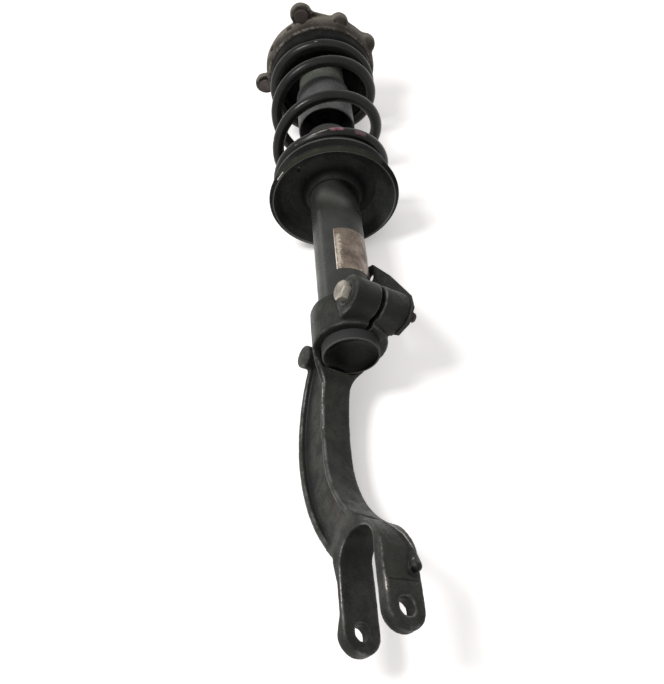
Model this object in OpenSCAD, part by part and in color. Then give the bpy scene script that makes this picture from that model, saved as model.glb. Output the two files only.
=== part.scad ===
// Front coilover: a twin-tube damper with its coil spring and top mount,
// clamped in a cast fork whose clevis bolts to the lower control arm.
// Z runs along the strut, from the clevis bolt (origin) up to the top mount.
// Y is the clevis bolt's axis, and the pinch bolt of the clamp lies along X.

/* [Clevis] */
// Diameter of the clevis bolt hole
clevis_bore_d = 14.5; // [12:0.5:16]
// Gap between the two ears
clevis_gap = 48; // [40:1:56]
// Thickness of one ear
ear_t = 12; // [9:1:15]
// Radius of an ear round its hole
ear_r = 18; // [15:1:21]
// Height of the machined pad round each hole, above the hole
pad_up = 20; // [18:1:26]
// Depth to which the ear is relieved above its pad
pad_relief = 0.8; // [0.3:0.1:1.5]
// Height of the arch between the ears, above the hole
arch_h = 75; // [70:1:80]
// Radius of the arch's corners
arch_r = 20; // [14:1:22]
// Radius of the shoulder over the near ear
knuckle_r = 49; // [46:0.5:52]

/* [Fork arm] */
// Distance from the clevis bolt up to the lower end of the damper tube
arm_len = 260; // [250:1:280]
// Thickness of the arm, across the clevis bolt
arm_t = 31; // [28:0.5:34]
// How far the arm's outer side bows out from the strut's axis
arm_bow = 83; // [80:0.5:86]
// Radius of the arm's outer side
arm_outer_r = 175.5; // [170:0.5:181]
// How far the arm's inner side bows out from the strut's axis
arm_inner_bow = 35.2; // [34:0.2:37]
// Radius of the upper half of the arm's inner side
arm_upper_r = 233; // [220:1:246]
// Depth of the channels in the arm's two side faces
channel_d = 5.5; // [3:0.5:8]
// Thickness of the lips beside the channels
lip_t = 6; // [4:0.5:8]
// Radius of the tooling boss at the top of the arm
tooling_boss_r = 12; // [9:0.5:13]

/* [Clamp] */
// Height of the clamp ring
clamp_h = 43; // [36:1:50]
// Wall of the clamp ring
clamp_wall = 9.5; // [8:0.5:12]
// Width of the clamp's slot
slot_w = 3.5; // [2:0.5:6]
// Distance from the strut's axis to the pinch bolt's axis
pinch_y = 44.5; // [43:0.5:48]
// Radius of the pinch lugs round their bolt
lug_r = 19; // [16:0.5:21]
// Distance from the slot's middle to a lug's outer face
lug_x = 31; // [27:0.5:35]
// Height of the washer face under the pinch bolt's head
spot_face_h = 1.5; // [0.5:0.1:2.5]

/* [Pinch bolt] */
// Diameter of the pinch bolt's shank
pinch_d = 11.5; // [9:0.5:12]
// Width across the flats of the pinch bolt's head
pinch_head_af = 18; // [16:0.5:19]
// Height of the pinch bolt's head
pinch_head_h = 8; // [6:0.5:10]
// How far the pinch bolt stands out of its nut
pinch_tip = 7; // [3:0.5:10]
// Height of the press nut on the bracket
press_nut_h = 6; // [4:0.5:9]
// Radius of the press nut
press_nut_r = 8.5; // [7:0.5:10]
// Thickness of the hose bracket's sheet
bracket_t = 2.5; // [1.5:0.1:3.5]
// Radius of the bracket's hole
hose_hole_r = 4.5; // [3:0.5:5.5]
// How far the bracket's hole lies in from the pinch bolt
hose_hole_in = 36.5; // [34:0.5:39]
// Height of the bracket's hole above the pinch bolt
hose_hole_up = 77.2; // [74:0.2:80]

/* [Damper] */
// Outer diameter of the damper tube
tube_d = 56; // [52:0.5:60]
// Wall of the damper tube
tube_wall = 2.2; // [1.5:0.1:3]
// Length of the damper tube, from its end cap to its rolled top
tube_len = 340; // [334:1:346]
// Height of the end cap that shows below the clamp
cap_h = 12; // [9:0.5:16]
// Wall of the end cap round the tube
cap_wall = 0.9; // [0.5:0.1:1.5]
// Depth of the cup in the end cap
cap_cup = 5; // [2:0.5:6]
// Height of the locating collar above the clamp
collar_h = 6; // [4:0.5:9]
// Radial thickness of the locating collar
collar_wall = 2.5; // [1.5:0.1:4]
// Outer diameter of the pressure tube
pressure_d = 36; // [34:0.5:40]
// Wall of the pressure tube
pressure_wall = 1.5; // [1:0.1:2]
// Height of the base valve
base_valve_h = 14; // [10:0.5:20]
// Height of the rod guide
guide_h = 18; // [14:0.5:24]
// Height of the rod seal
seal_h = 9; // [6:0.5:12]
// Height of the label plate
label_h = 60; // [40:1:80]
// Height of the label plate's lower edge above the end cap
label_z = 93; // [75:1:110]
// Arc that the label plate covers, in degrees
label_arc = 112; // [60:2:150]

/* [Rod and piston] */
// Diameter of the piston rod
rod_d = 14; // [12:0.5:16]
// Running clearance round the rod and the piston band
running_gap = 0.05; // [0.02:0.01:0.08]
// Stroke of the damper from full rebound to full bump
stroke = 80; // [76:1:82]
// Distance from the rebound stop down to the piston
stop_to_piston = 30; // [15:1:60]
// Height of the rebound stop
rebound_stop_h = 8; // [5:0.5:12]
// Height of the piston
piston_h = 16; // [12:0.5:22]
// Thickness of the piston band
band_t = 1.2; // [0.8:0.1:1.6]
// Diameter of the rod's threaded upper end
thread_d = 12; // [10:0.5:12]

/* [Spring] */
// Diameter of the spring wire
wire_d = 14; // [12:0.25:15]
// Mean diameter of the coils
coil_d = 124; // [120:1:126]
// Rise of the wire's centre line from the lowest to the highest point
coil_rise = 192; // [185:1:200]
// Number of turns that carry the load
active_turns = 2.64; // [2.2:0.02:3.2]
// Number of flat turns at the lower end
low_turns = 0.7; // [0.4:0.02:0.72]
// Number of flat turns at the upper end
top_turns = 0.7; // [0.4:0.02:0.72]
// Rise of the wire along a flat end
end_rise = 3; // [0:0.5:5]

/* [Spring seats] */
// Depth of the lower seat's shelf below the damper tube's top
seat_down = 84.5; // [80:0.5:89]
// Outer diameter of the lower seat
seat_d = 150; // [144:1:156]
// Thickness of the lower seat's sheet
seat_t = 2.5; // [1.5:0.1:3.5]
// Depth of the lower seat's skirt, below its shelf
skirt_h = 24; // [16:0.5:30]
// Thickness of the rubber pad under the spring
pad_t = 3; // [2:0.5:5]
// Height of the upper spring isolator
isolator_h = 18; // [14:0.5:24]
// Clearance of soft parts
soft_gap = 0.3; // [0.2:0.05:0.5]

/* [Boot and bump stop] */
// Outer radius of the dust boot
boot_r = 35; // [33.5:0.5:38]
// Wall of the dust boot
boot_wall = 1.8; // [1.2:0.1:2.5]
// Length of the dust boot from its shoulder to its open end
boot_len = 71; // [60:1:80]
// Clearance of the damper tube in the boot's neck
boot_neck_gap = 1; // [0.6:0.1:1.5]
// Share of its length by which the bump stop gives at full bump
bump_squeeze = 0.3; // [0.25:0.01:0.35]
// Height of the bump stop that shows above the boot
bump_shown = 56; // [45:1:60]
// Thickness of the plate that the bump stop bears on
bump_plate_t = 3; // [2:0.5:4]

/* [Top mount] */
// Outer radius of the casting's disc
disc_r = 71; // [69:0.5:72]
// Thickness of the casting's disc
disc_t = 13; // [9:0.5:15]
// Outer radius of the casting's rim
rim_r = 73; // [72.5:0.5:76]
// Wall of the casting's rim
rim_wall = 6; // [4:0.5:9]
// Height of the casting's rim above the disc's underside
rim_h = 27.5; // [25:0.5:28]
// Height of the studs' lobes
lobe_h = 10; // [9:0.5:12]
// Height of the casting, from the disc's underside to its top face
mount_h = 30; // [30:0.5:33]
// Radius of the housing of the rubber bush
bush_r = 32; // [28:0.5:36]
// Wall of the bush housing
hub_wall = 8; // [5:0.5:10]
// Radius of the bush's steel core
core_r = 12; // [10:0.5:14]
// Diameter of the mounting studs
stud_d = 10; // [8:0.5:12]
// Length of the mounting studs above the casting
stud_len = 12; // [8:1:16]
// Radius of the studs' heads
stud_head_r = 9; // [7.5:0.5:9.5]
// Height of the studs' heads
stud_head_h = 3; // [2:0.5:4]
// Radius of the cup washer under the rod nut
washer_r = 26; // [20:0.5:28]
// Thickness of the cup washer
washer_t = 3; // [2:0.5:4]
// Width across the flats of the rod nut
nut_af = 19; // [17:0.5:24]
// Height of the rod nut
nut_h = 10; // [8:0.5:14]
// How far the rod stands out of its nut
rod_tip = 4; // [2:0.5:8]

/* [Hidden] */
$fn = 64;
// margin by which a cutting shape runs past what it cuts
over = 1;
// a hexagon's width across its corners, over its width across its flats
hex_ratio = 2 / sqrt(3);

// --- fork
tube_r = tube_d / 2;
cap_r = tube_r + cap_wall;
clevis_w = clevis_gap + 2 * ear_t;
ring_r = tube_r + clamp_wall;
clamp_z = arm_len + cap_h;
clamp_top = clamp_z + clamp_h;
pinch_share = 0.53;
pinch_z = clamp_z + pinch_share * clamp_h;
half_w = clevis_w / 2;
arm_mid_z = arm_len - 76.5;
arm_inner_z = arm_mid_z - 13.5;
arm_top_z = clamp_top - 1;
// where the arm's outer side runs into the far ear
foot_z = arm_mid_z - sqrt(pow(arm_outer_r, 2) - pow(arm_outer_r - arm_bow + half_w, 2));
knuckle_z = 39;
// where the arm's inner side runs into the near ear's shoulder
knuckle_turn = 48;
knuckle_y = half_w - knuckle_r * (1 - cos(knuckle_turn));
knuckle_top = knuckle_z + knuckle_r * sin(knuckle_turn);
// lower half of the arm's inner side: it ends on the shoulder
arm_inner_y = arm_inner_bow + knuckle_y;
arm_inner_r = (pow(arm_inner_y, 2) + pow(arm_inner_z - knuckle_top, 2)) / (2 * arm_inner_y);
ear_taper_z0 = 45;
ear_taper_z1 = 82;
neck_h = 25;
neck_z = arm_len - neck_h;
neck_flare_r = 40;
channel_lean = 26;
channel_z0 = 75;
channel_ramp = 35;
cap_clear = 1.2;
spot_face_r = 0.72 * pinch_head_af;
pinch_hole_gap = 0.5;
tooling_boss_x = 24;
tooling_boss_y = 50;
tooling_boss_z = clamp_z + 15;

// --- damper
tube_z = arm_len + cap_cup;
tube_top = arm_len + tube_len;
roll_h = 3;
seal_top = tube_top - roll_h;
guide_top = seal_top - seal_h;
guide_z = guide_top - guide_h;
guide_lip = 6;
tube_in_r = tube_r - tube_wall;
pressure_r = pressure_d / 2;
pressure_in_r = pressure_r - pressure_wall;
floor_t = 3;
tube_floor = tube_z + floor_t;
valve_foot = 4;
pressure_z = tube_floor + valve_foot;
pressure_top = guide_z + guide_lip;
label_t = 0.3;
glue_t = 0.05;
label_mid = 98.5;

// --- rod and piston
rod_r = rod_d / 2;
thread_r = thread_d / 2;
stop_top = guide_z - soft_gap;
stop_z = stop_top - rebound_stop_h;
disc_pack_h = 2.4;
piston_top = stop_z - stop_to_piston;
piston_z = piston_top - piston_h;
tail_r = rod_r - 2;
tail_nut_h = 7;
tail_nut_af = 17;
rod_z = piston_z - disc_pack_h - tail_nut_h - 2;
band_h = piston_h * 0.5;
band_z = piston_z + (piston_h - band_h) / 2;
band_out_r = pressure_in_r - running_gap;
band_in_r = band_out_r - band_t;
piston_r = band_out_r - 0.4;

// --- spring and seats
seat_z = tube_top - seat_down;
wire_r = wire_d / 2;
coil_r = coil_d / 2;
coil_z = seat_z + pad_t + soft_gap + wire_r;
coil_top = coil_z + coil_rise;
isolator_z = coil_top + wire_r + soft_gap;
disc_z = isolator_z + isolator_h;
wire_sides = 6;
rings_per_turn = 24;
coil_start = 138;
seat_hub_h = 12;
seat_hub_t = 2.5;
seat_curl_r = 3;
seat_r = seat_d / 2;

// --- mount
mount_top = disc_z + mount_h;
rim_z = disc_z + disc_t;
rim_top = disc_z + rim_h;
lobe_z = mount_top - lobe_h;
plate_t = 6;
plate_z = rim_top - plate_t;
core_in = 8;
core_z = disc_z + core_in;
core_proud = 2;
core_top = mount_top + core_proud;
bump_top = core_z - bump_plate_t;
nut_z = core_top + washer_t;
rod_top = nut_z + nut_h + rod_tip;
hub_r = bush_r + hub_wall;
bush_in = 12;
bush_z = disc_z + bush_in;
bush_h = mount_h - bush_in - core_proud - 2;
bump_plate_r = bush_r - bump_plate_t;
// lobes: distance from the axis, angle and radius of each, and what its web takes of its radius; the
// lengths are in rim radii
lobe_plan = [[1.093, 40.4, 0.196, 0.5], [0.935, 79.7, 0.164, 0.35], [0.918, 120.8, 0.203, 0.85],
    [1.078, -49.2, 0.196, 0]];
lobes = [for (l = lobe_plan) [rim_r * l[0], l[1], rim_r * l[2], l[3]]];
windows = [24, -6];
window_arc = 8;
rib_angles = [-85, -125, -165, 155, 98, 60, 8];
rib_t = 5;
head_gap = 0.6;
// radius of the knurled part of a stud, pressed in its lobe
knurl_r = stud_d / 2 + 0.6;
// step from a lobe's face down to its web, and height of the web's underside above the lobe's
face_step = 1;
web_up = 4;
// inner end of the slot over a window
window_in = rim_r - rim_wall - 14;

// --- boot and bump stop
bump_len = (bump_top - tube_top - stroke) / (1 - bump_squeeze);
bump_z = bump_top - bump_len;
shoulder_z = bump_top - bump_shown;
boot_z = shoulder_z - boot_len;
neck_hole_r = tube_r + boot_neck_gap;
neck_grip = 1;
bump_r = neck_hole_r + neck_grip;
groove_h = 4;
bump_nose_r = bump_r - 2 * groove_h;

function ring_point(r, a, z) = [r * cos(a), r * sin(a), z];

// part of a turn from a to b, cut as a wedge
module wedge(r, a, b, h) {
    steps = max(2, ceil((b - a) / 30));
    linear_extrude(h) polygon(concat([[0, 0]],
        [for (i = [0:steps]) let (t = a + (b - a) * i / steps) [r * cos(t), r * sin(t)]]));
}

module tube(r_out, r_in, h) {
    difference() {
        cylinder(h = h, r = r_out);
        translate([0, 0, -over]) cylinder(h = h + 2 * over, r = r_in);
    }
}

module hexagon(af, h) {
    cylinder(h = h, d = af * hex_ratio, $fn = 6);
}

// a shape drawn in X and Z, given a width along Y
module across_y(w) {
    rotate([90, 0, 0]) linear_extrude(w, center = true) children();
}

// a shape drawn in Y and Z, given a length along X from x0 to x1
module along_x(x0, x1) {
    translate([x0, 0, 0]) rotate([90, 0, 90]) linear_extrude(x1 - x0) children();
}

// outer and inner side of the arm, in Y and Z
module arm_bow_disc(inset) {
    translate([arm_outer_r - arm_bow, arm_mid_z]) circle(r = arm_outer_r - inset, $fn = 128);
}

module arm_hollow_disc(grown) {
    translate([arm_inner_r - arm_inner_bow, arm_inner_z]) circle(r = arm_inner_r + grown, $fn = 128);
    intersection() {
        translate([arm_upper_r - arm_inner_bow, arm_mid_z]) circle(r = arm_upper_r + grown, $fn = 128);
        translate([-arm_bow, arm_inner_z]) square([3 * arm_bow, arm_top_z]);
    }
}

// side of the arm and the two ears, in Y and Z
module arm_side() {
    difference() {
        union() {
            translate([-half_w, -ear_r]) square([clevis_w, ear_r + knuckle_z]);
            intersection() {
                translate([half_w - knuckle_r, knuckle_z]) circle(r = knuckle_r);
                translate([-half_w, knuckle_z - over]) square([clevis_w, knuckle_r + over]);
            }
            translate([-half_w, 0]) square([half_w, foot_z + over]);
            intersection() {
                arm_bow_disc(0);
                translate([-arm_bow, foot_z]) square([arm_bow + knuckle_y, arm_top_z - foot_z]);
            }
        }
        arm_hollow_disc(0);
        translate([-clevis_gap / 2, -ear_r - over]) square([clevis_gap, arch_h - arch_r + ear_r + over]);
        translate([-clevis_gap / 2 + arch_r, 0]) square([clevis_gap - 2 * arch_r, arch_h]);
        for (s = [-1, 1])
            translate([s * (clevis_gap / 2 - arch_r), arch_h - arch_r]) circle(r = arch_r);
    }
}

// front of the arm and of an ear, in X and Z
module arm_front() {
    circle(r = ear_r);
    polygon([[-ear_r, 0], [ear_r, 0], [ear_r, ear_taper_z0], [arm_t / 2, ear_taper_z1], [arm_t / 2, clamp_top],
        [-arm_t / 2, clamp_top], [-arm_t / 2, ear_taper_z1], [-ear_r, ear_taper_z0]]);
}

// one channel: it runs out to nothing over the arch
module arm_channel() {
    intersection() {
        along_x(0, ear_r) difference() {
            arm_bow_disc(lip_t);
            arm_hollow_disc(lip_t);
        }
        rotate([channel_lean, 0, 0]) across_y(4 * arm_bow)
            polygon([[arm_t / 2 + over, channel_z0 - over], [arm_t / 2 - channel_d, channel_z0 + channel_ramp],
                [arm_t / 2 - channel_d, arm_len + arm_bow], [arm_t / 2 + over, arm_len + arm_bow]]);
        translate([0, -arm_bow, 0]) cube([ear_r, arm_bow, clamp_z + lip_t]);
    }
}

module arm() {
    difference() {
        intersection() {
            along_x(-ear_r, ear_r) arm_side();
            across_y(2 * arm_bow + 2 * over) arm_front();
        }
        arm_channel();
        mirror([1, 0, 0]) arm_channel();
        for (s = [-1, 1])
            translate([-2 * ear_r, s > 0 ? half_w - pad_relief : -half_w - over, pad_up])
                cube([4 * ear_r, pad_relief + over, foot_z - pad_up - over]);
        rotate([90, 0, 0]) cylinder(h = clevis_w + 2 * over, d = clevis_bore_d, center = true);
    }
    // the flare that carries the ring on the arm
    intersection() {
        translate([0, 0, neck_z]) cylinder(h = clamp_z - neck_z + over, r = ring_r - over / 2);
        along_x(-ring_r, ring_r) arm_side();
        across_y(2 * ring_r) difference() {
            translate([-ring_r, neck_z]) square([2 * ring_r, clamp_z - neck_z + 2 * over]);
            for (s = [-1, 1]) translate([s * (arm_t / 2 - over + neck_flare_r), neck_z - over])
                circle(r = neck_flare_r, $fn = 96);
        }
    }
}

module clamp() {
    difference() {
        union() {
            translate([0, 0, clamp_z]) cylinder(h = clamp_h, r = ring_r);
            along_x(-lug_x, lug_x) {
                translate([pinch_y, pinch_z]) circle(r = lug_r);
                translate([tube_r, pinch_z - lug_r]) square([pinch_y - tube_r, 2 * lug_r]);
            }
            translate([lug_x - over, pinch_y, pinch_z]) rotate([0, 90, 0])
                cylinder(h = spot_face_h + over, r = spot_face_r);
            translate([0, -tooling_boss_y, tooling_boss_z]) rotate([0, 90, 0])
                cylinder(h = tooling_boss_x, r = tooling_boss_r);
        }
        translate([-slot_w / 2, 0, clamp_z - over])
            cube([slot_w, pinch_y + lug_r + over, clamp_h + 2 * over]);
        translate([-lug_x - over, pinch_y, pinch_z]) rotate([0, 90, 0])
            cylinder(h = 2 * lug_x + spot_face_h + 2 * over, d = pinch_d + pinch_hole_gap);
    }
}

module fork() {
    color("#26282a") difference() {
        union() {
            arm();
            clamp();
        }
        translate([0, 0, clamp_z - over]) cylinder(h = clamp_h + 2 * over, r = tube_r);
        // room for the damper's end cap
        translate([0, 0, arm_len - cap_clear]) cylinder(h = cap_h + cap_clear, r = cap_r + cap_clear);
    }
}

module pinch_bolt() {
    head_x = lug_x + spot_face_h;
    color("#a89f8c") translate([head_x, pinch_y, pinch_z]) rotate([0, -90, 0]) {
        translate([0, 0, -pinch_head_h]) hexagon(pinch_head_af, pinch_head_h);
        cylinder(h = 2 * lug_x + spot_face_h + bracket_t + press_nut_h + pinch_tip, d = pinch_d);
    }
}

module press_nut() {
    color("#4a4744") translate([-lug_x - bracket_t, pinch_y, pinch_z]) rotate([0, -90, 0])
        tube(press_nut_r, pinch_d / 2, press_nut_h);
}

module hose_bracket() {
    // outline from the bolt, in Y and Z and in lug radii: round the bolt and up beside the tube
    outline = [[-1.18, -0.53], [-0.45, -1.16], [0.5, -1.1], [1.08, -0.42], [1.03, 0.42], [-0.34, 3],
        [-1.6, 4.9], [-2.24, 5.16], [-2.6, 4.63], [-2.5, 3.9], [-1.4, 2.3], [-1.08, 1.05]];
    color("#1b1c1e") difference() {
        along_x(-lug_x - bracket_t, -lug_x) translate([pinch_y, pinch_z]) polygon(lug_r * outline);
        translate([-lug_x + over, pinch_y, pinch_z]) rotate([0, -90, 0])
            cylinder(h = bracket_t + 2 * over, d = pinch_d + pinch_hole_gap);
        translate([-lug_x + over, pinch_y - hose_hole_in, pinch_z + hose_hole_up]) rotate([0, -90, 0])
            cylinder(h = bracket_t + 2 * over, r = hose_hole_r);
    }
}

module damper_tube() {
    color("#2f3235") difference() {
        translate([0, 0, tube_z]) cylinder(h = tube_top - tube_z, r = tube_r);
        translate([0, 0, tube_floor]) cylinder(h = seal_top - tube_floor, r = tube_in_r);
        translate([0, 0, seal_top - over]) cylinder(h = roll_h + 2 * over, r = tube_in_r - roll_h);
    }
}

module tube_end_cap() {
    color("#1f2123") difference() {
        translate([0, 0, arm_len]) cylinder(h = cap_h, r = cap_r);
        translate([0, 0, tube_z]) cylinder(h = cap_h, r = tube_r);
        translate([0, 0, arm_len - over]) cylinder(h = cap_cup - floor_t + over, r = tube_r - 1);
    }
}

module locating_collar() {
    color("#232527") translate([0, 0, clamp_top]) tube(tube_r + collar_wall, tube_r, collar_h);
}

module label_plate() {
    color("#9a8468") translate([0, 0, arm_len + label_z]) intersection() {
        tube(tube_r + glue_t + label_t, tube_r + glue_t, label_h);
        rotate([0, 0, label_mid]) translate([0, 0, -over])
            wedge(2 * tube_r, -label_arc / 2, label_arc / 2, label_h + 2 * over);
    }
}

module pressure_tube() {
    color("#8d9196") translate([0, 0, pressure_z]) tube(pressure_r, pressure_in_r, pressure_top - pressure_z);
}

module base_valve() {
    port_r = 2.5;
    port_at = pressure_in_r - 2 * port_r;
    color("#9aa0a6") difference() {
        union() {
            translate([0, 0, tube_floor]) cylinder(h = valve_foot, r = pressure_r + 2);
            translate([0, 0, pressure_z]) cylinder(h = base_valve_h - valve_foot, r = pressure_in_r);
        }
        for (a = [0:60:300])
            translate(ring_point(port_at, a, tube_floor + 2))
                cylinder(h = base_valve_h, r = port_r);
    }
}

module rod_guide() {
    color("#a3a8ad") difference() {
        union() {
            translate([0, 0, pressure_top]) cylinder(h = guide_top - pressure_top, r = tube_in_r);
            translate([0, 0, guide_z]) cylinder(h = guide_lip, r = pressure_in_r);
        }
        translate([0, 0, guide_z - over]) cylinder(h = guide_h + 2 * over, r = rod_r + running_gap);
    }
}

module rod_seal() {
    color("#18191a") translate([0, 0, guide_top]) tube(tube_in_r, rod_r + soft_gap, seal_h);
}

module lower_spring_seat() {
    wall_r = seat_r - 2 * seat_curl_r;
    bend = 7;
    curl_z = seat_z - skirt_h;
    color("#1c1d1f") {
        // hub pressed on the tube, shelf, rounded shoulder, skirt and rolled rim
        translate([0, 0, seat_z - seat_t - seat_hub_h]) tube(tube_r + seat_hub_t, tube_r, seat_hub_h);
        translate([0, 0, seat_z - seat_t]) tube(wall_r - bend, tube_r, seat_t);
        rotate_extrude() translate([wall_r - bend, seat_z - bend]) intersection() {
            difference() {
                circle(r = bend);
                circle(r = bend - seat_t);
            }
            square(bend);
        }
        translate([0, 0, curl_z]) tube(wall_r, wall_r - seat_t, skirt_h - bend);
        rotate_extrude() translate([wall_r + seat_curl_r - seat_t / 2, curl_z]) intersection() {
            difference() {
                circle(r = seat_curl_r + seat_t / 2);
                circle(r = seat_curl_r - seat_t / 2);
            }
            translate([-seat_curl_r - seat_t, -seat_curl_r - seat_t])
                square([2 * (seat_curl_r + seat_t), seat_curl_r + seat_t]);
        }
        translate([0, 0, curl_z]) tube(seat_r, seat_r - seat_t / 2, seat_curl_r);
    }
}

module lower_spring_pad() {
    lip_r = coil_r - wire_r - 3;
    lip_h = wire_r;
    color("#141516") {
        translate([0, 0, seat_z]) tube(coil_r + wire_r - over, lip_r - 3, pad_t);
        translate([0, 0, seat_z + pad_t]) tube(lip_r, lip_r - 3, lip_h);
    }
}

module piston_rod() {
    color("#c9cdd2") {
        translate([0, 0, piston_top]) cylinder(h = bump_top - piston_top, r = rod_r);
        translate([0, 0, bump_top]) cylinder(h = rod_top - bump_top, r = thread_r);
        translate([0, 0, rod_z]) cylinder(h = piston_top - rod_z, r = tail_r);
    }
}

module piston() {
    port_r = 1.6;
    port_at = (piston_r - band_t + tail_r) / 2;
    color("#7d8288") difference() {
        translate([0, 0, piston_z]) cylinder(h = piston_h, r = piston_r);
        translate([0, 0, piston_z - over]) cylinder(h = piston_h + 2 * over, r = tail_r);
        translate([0, 0, band_z]) tube(piston_r + over, band_in_r - running_gap, band_h + 2 * soft_gap);
        for (a = [0:45:315])
            translate(ring_point(port_at, a, piston_z - over)) cylinder(h = piston_h + 2 * over, r = port_r);
    }
}

module piston_band() {
    color("#3b4a3e") translate([0, 0, band_z + soft_gap]) tube(band_out_r, band_in_r, band_h);
}

module valve_discs() {
    sheet = disc_pack_h / 4;
    color("#b9bdc2") for (i = [0:3])
        translate([0, 0, piston_z - disc_pack_h + i * sheet])
            tube(piston_r - 4 + i * 0.5, tail_r, sheet);
}

module piston_nut() {
    color("#6d6f73") difference() {
        translate([0, 0, piston_z - disc_pack_h - tail_nut_h]) hexagon(tail_nut_af, tail_nut_h);
        translate([0, 0, rod_z - over]) cylinder(h = piston_h, r = tail_r);
    }
}

module rebound_stop() {
    color("#55585c") translate([0, 0, stop_z]) tube(pressure_in_r - 2, rod_r, rebound_stop_h);
}

// height of the wire's centre line after t turns of the right-hand coil, whose ends are flat
turns = low_turns + active_turns + top_turns;
function coil_height(t) = t < low_turns ? end_rise * t / low_turns
    : t > turns - top_turns ? coil_rise - end_rise * (turns - t) / top_turns
    : end_rise + (coil_rise - 2 * end_rise) * ease((t - low_turns) / active_turns);
// straight through the middle, and eased into the flat turns
ease_share = 0.05;
function ease(x) = let (s = ease_share, k = 1 / (1 - s))
    x < s ? k * x * x / (2 * s) : x > 1 - s ? 1 - k * (1 - x) * (1 - x) / (2 * s) : k * (x - s / 2);
coil_rings = round(turns * rings_per_turn);
function coil_angle(i) = coil_start + 360 * turns * i / coil_rings;
function coil_point(i) = ring_point(coil_r, coil_angle(i), coil_z + coil_height(turns * i / coil_rings));
function wire_ring(i) = let (c = coil_point(i), a = coil_angle(i))
    [for (k = [0:wire_sides - 1]) let (w = 360 * (k + 0.5) / wire_sides)
        c + [wire_r * cos(w) * cos(a), wire_r * cos(w) * sin(a), wire_r * sin(w)]];
coil_gap = min([for (i = [0:coil_rings]) for (j = [i + rings_per_turn / 2:coil_rings])
    norm(coil_point(i) - coil_point(j))]) - wire_d;
echo(least_gap_of_the_spring_to_itself = coil_gap);

module coil_spring() {
    n = wire_sides;
    points = [for (i = [0:coil_rings]) each wire_ring(i)];
    sides = [for (i = [0:coil_rings - 1]) for (k = [0:n - 1]) let (a = i * n + k, b = i * n + (k + 1) % n)
        each [[a, b + n, b], [a, a + n, b + n]]];
    first = [for (k = [1:n - 2]) [0, k, k + 1]];
    last = [for (k = [1:n - 2]) let (b = coil_rings * n) [b, b + k + 1, b + k]];
    color("#202225") polyhedron(points, concat(sides, first, last));
}

module spring_isolator() {
    lip_h = 6;
    lip_t = 3;
    inner_r = coil_r - wire_r - 4;
    color("#121314") {
        translate([0, 0, isolator_z]) tube(coil_r + wire_r - 1, inner_r, isolator_h);
        translate([0, 0, isolator_z - lip_h]) tube(inner_r + lip_t, inner_r, lip_h);
    }
}

module bump_stop() {
    ridges = 3;
    pitch = (bump_shown - groove_h) / ridges;
    groove = 0.6 * groove_h;
    color("#3a3c38") difference() {
        rotate_extrude() polygon([[0, bump_z], [bump_nose_r, bump_z], [bump_r, shoulder_z - groove_h],
            [bump_r, bump_top], [0, bump_top]]);
        translate([0, 0, bump_z - over]) cylinder(h = bump_len + 2 * over, r = rod_r + soft_gap);
        // the boot's neck sits in this groove
        translate([0, 0, shoulder_z - boot_wall]) tube(bump_r + over, neck_hole_r, boot_wall);
        for (i = [1:ridges - 1])
            translate([0, 0, shoulder_z + i * pitch]) rotate_extrude()
                translate([bump_r + 0.6 * groove, 0]) circle(r = groove, $fn = 24);
    }
}

module bump_stop_plate() {
    color("#54575b") translate([0, 0, bump_top]) tube(bump_plate_r, thread_r, bump_plate_t);
}

module dust_boot() {
    bend = 6;
    lip = 1.5;
    color("#1d1f22") {
        translate([0, 0, boot_z]) tube(boot_r, boot_r - boot_wall, boot_len - bend);
        translate([0, 0, boot_z]) tube(boot_r + lip, boot_r - boot_wall, 2 * lip);
        translate([0, 0, shoulder_z - boot_wall]) tube(boot_r - bend, neck_hole_r, boot_wall);
        rotate_extrude() translate([boot_r - bend, shoulder_z - bend]) intersection() {
            difference() {
                circle(r = bend);
                circle(r = bend - boot_wall);
            }
            square(bend);
        }
    }
}

// a flat bar from one lobe to the next, as wide at each as its lobe asks for
module lobe_web(a, b, h) {
    p = ring_point(a[0], a[1], 0);
    d = ring_point(b[0], b[1], 0) - p;
    ra = a[2] * a[3];
    rb = b[2] * b[3];
    translate(p) rotate([0, 0, atan2(d[1], d[0])]) linear_extrude(h)
        polygon([[0, -ra], [norm(d), -rb], [norm(d), rb], [0, ra]]);
}

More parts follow.
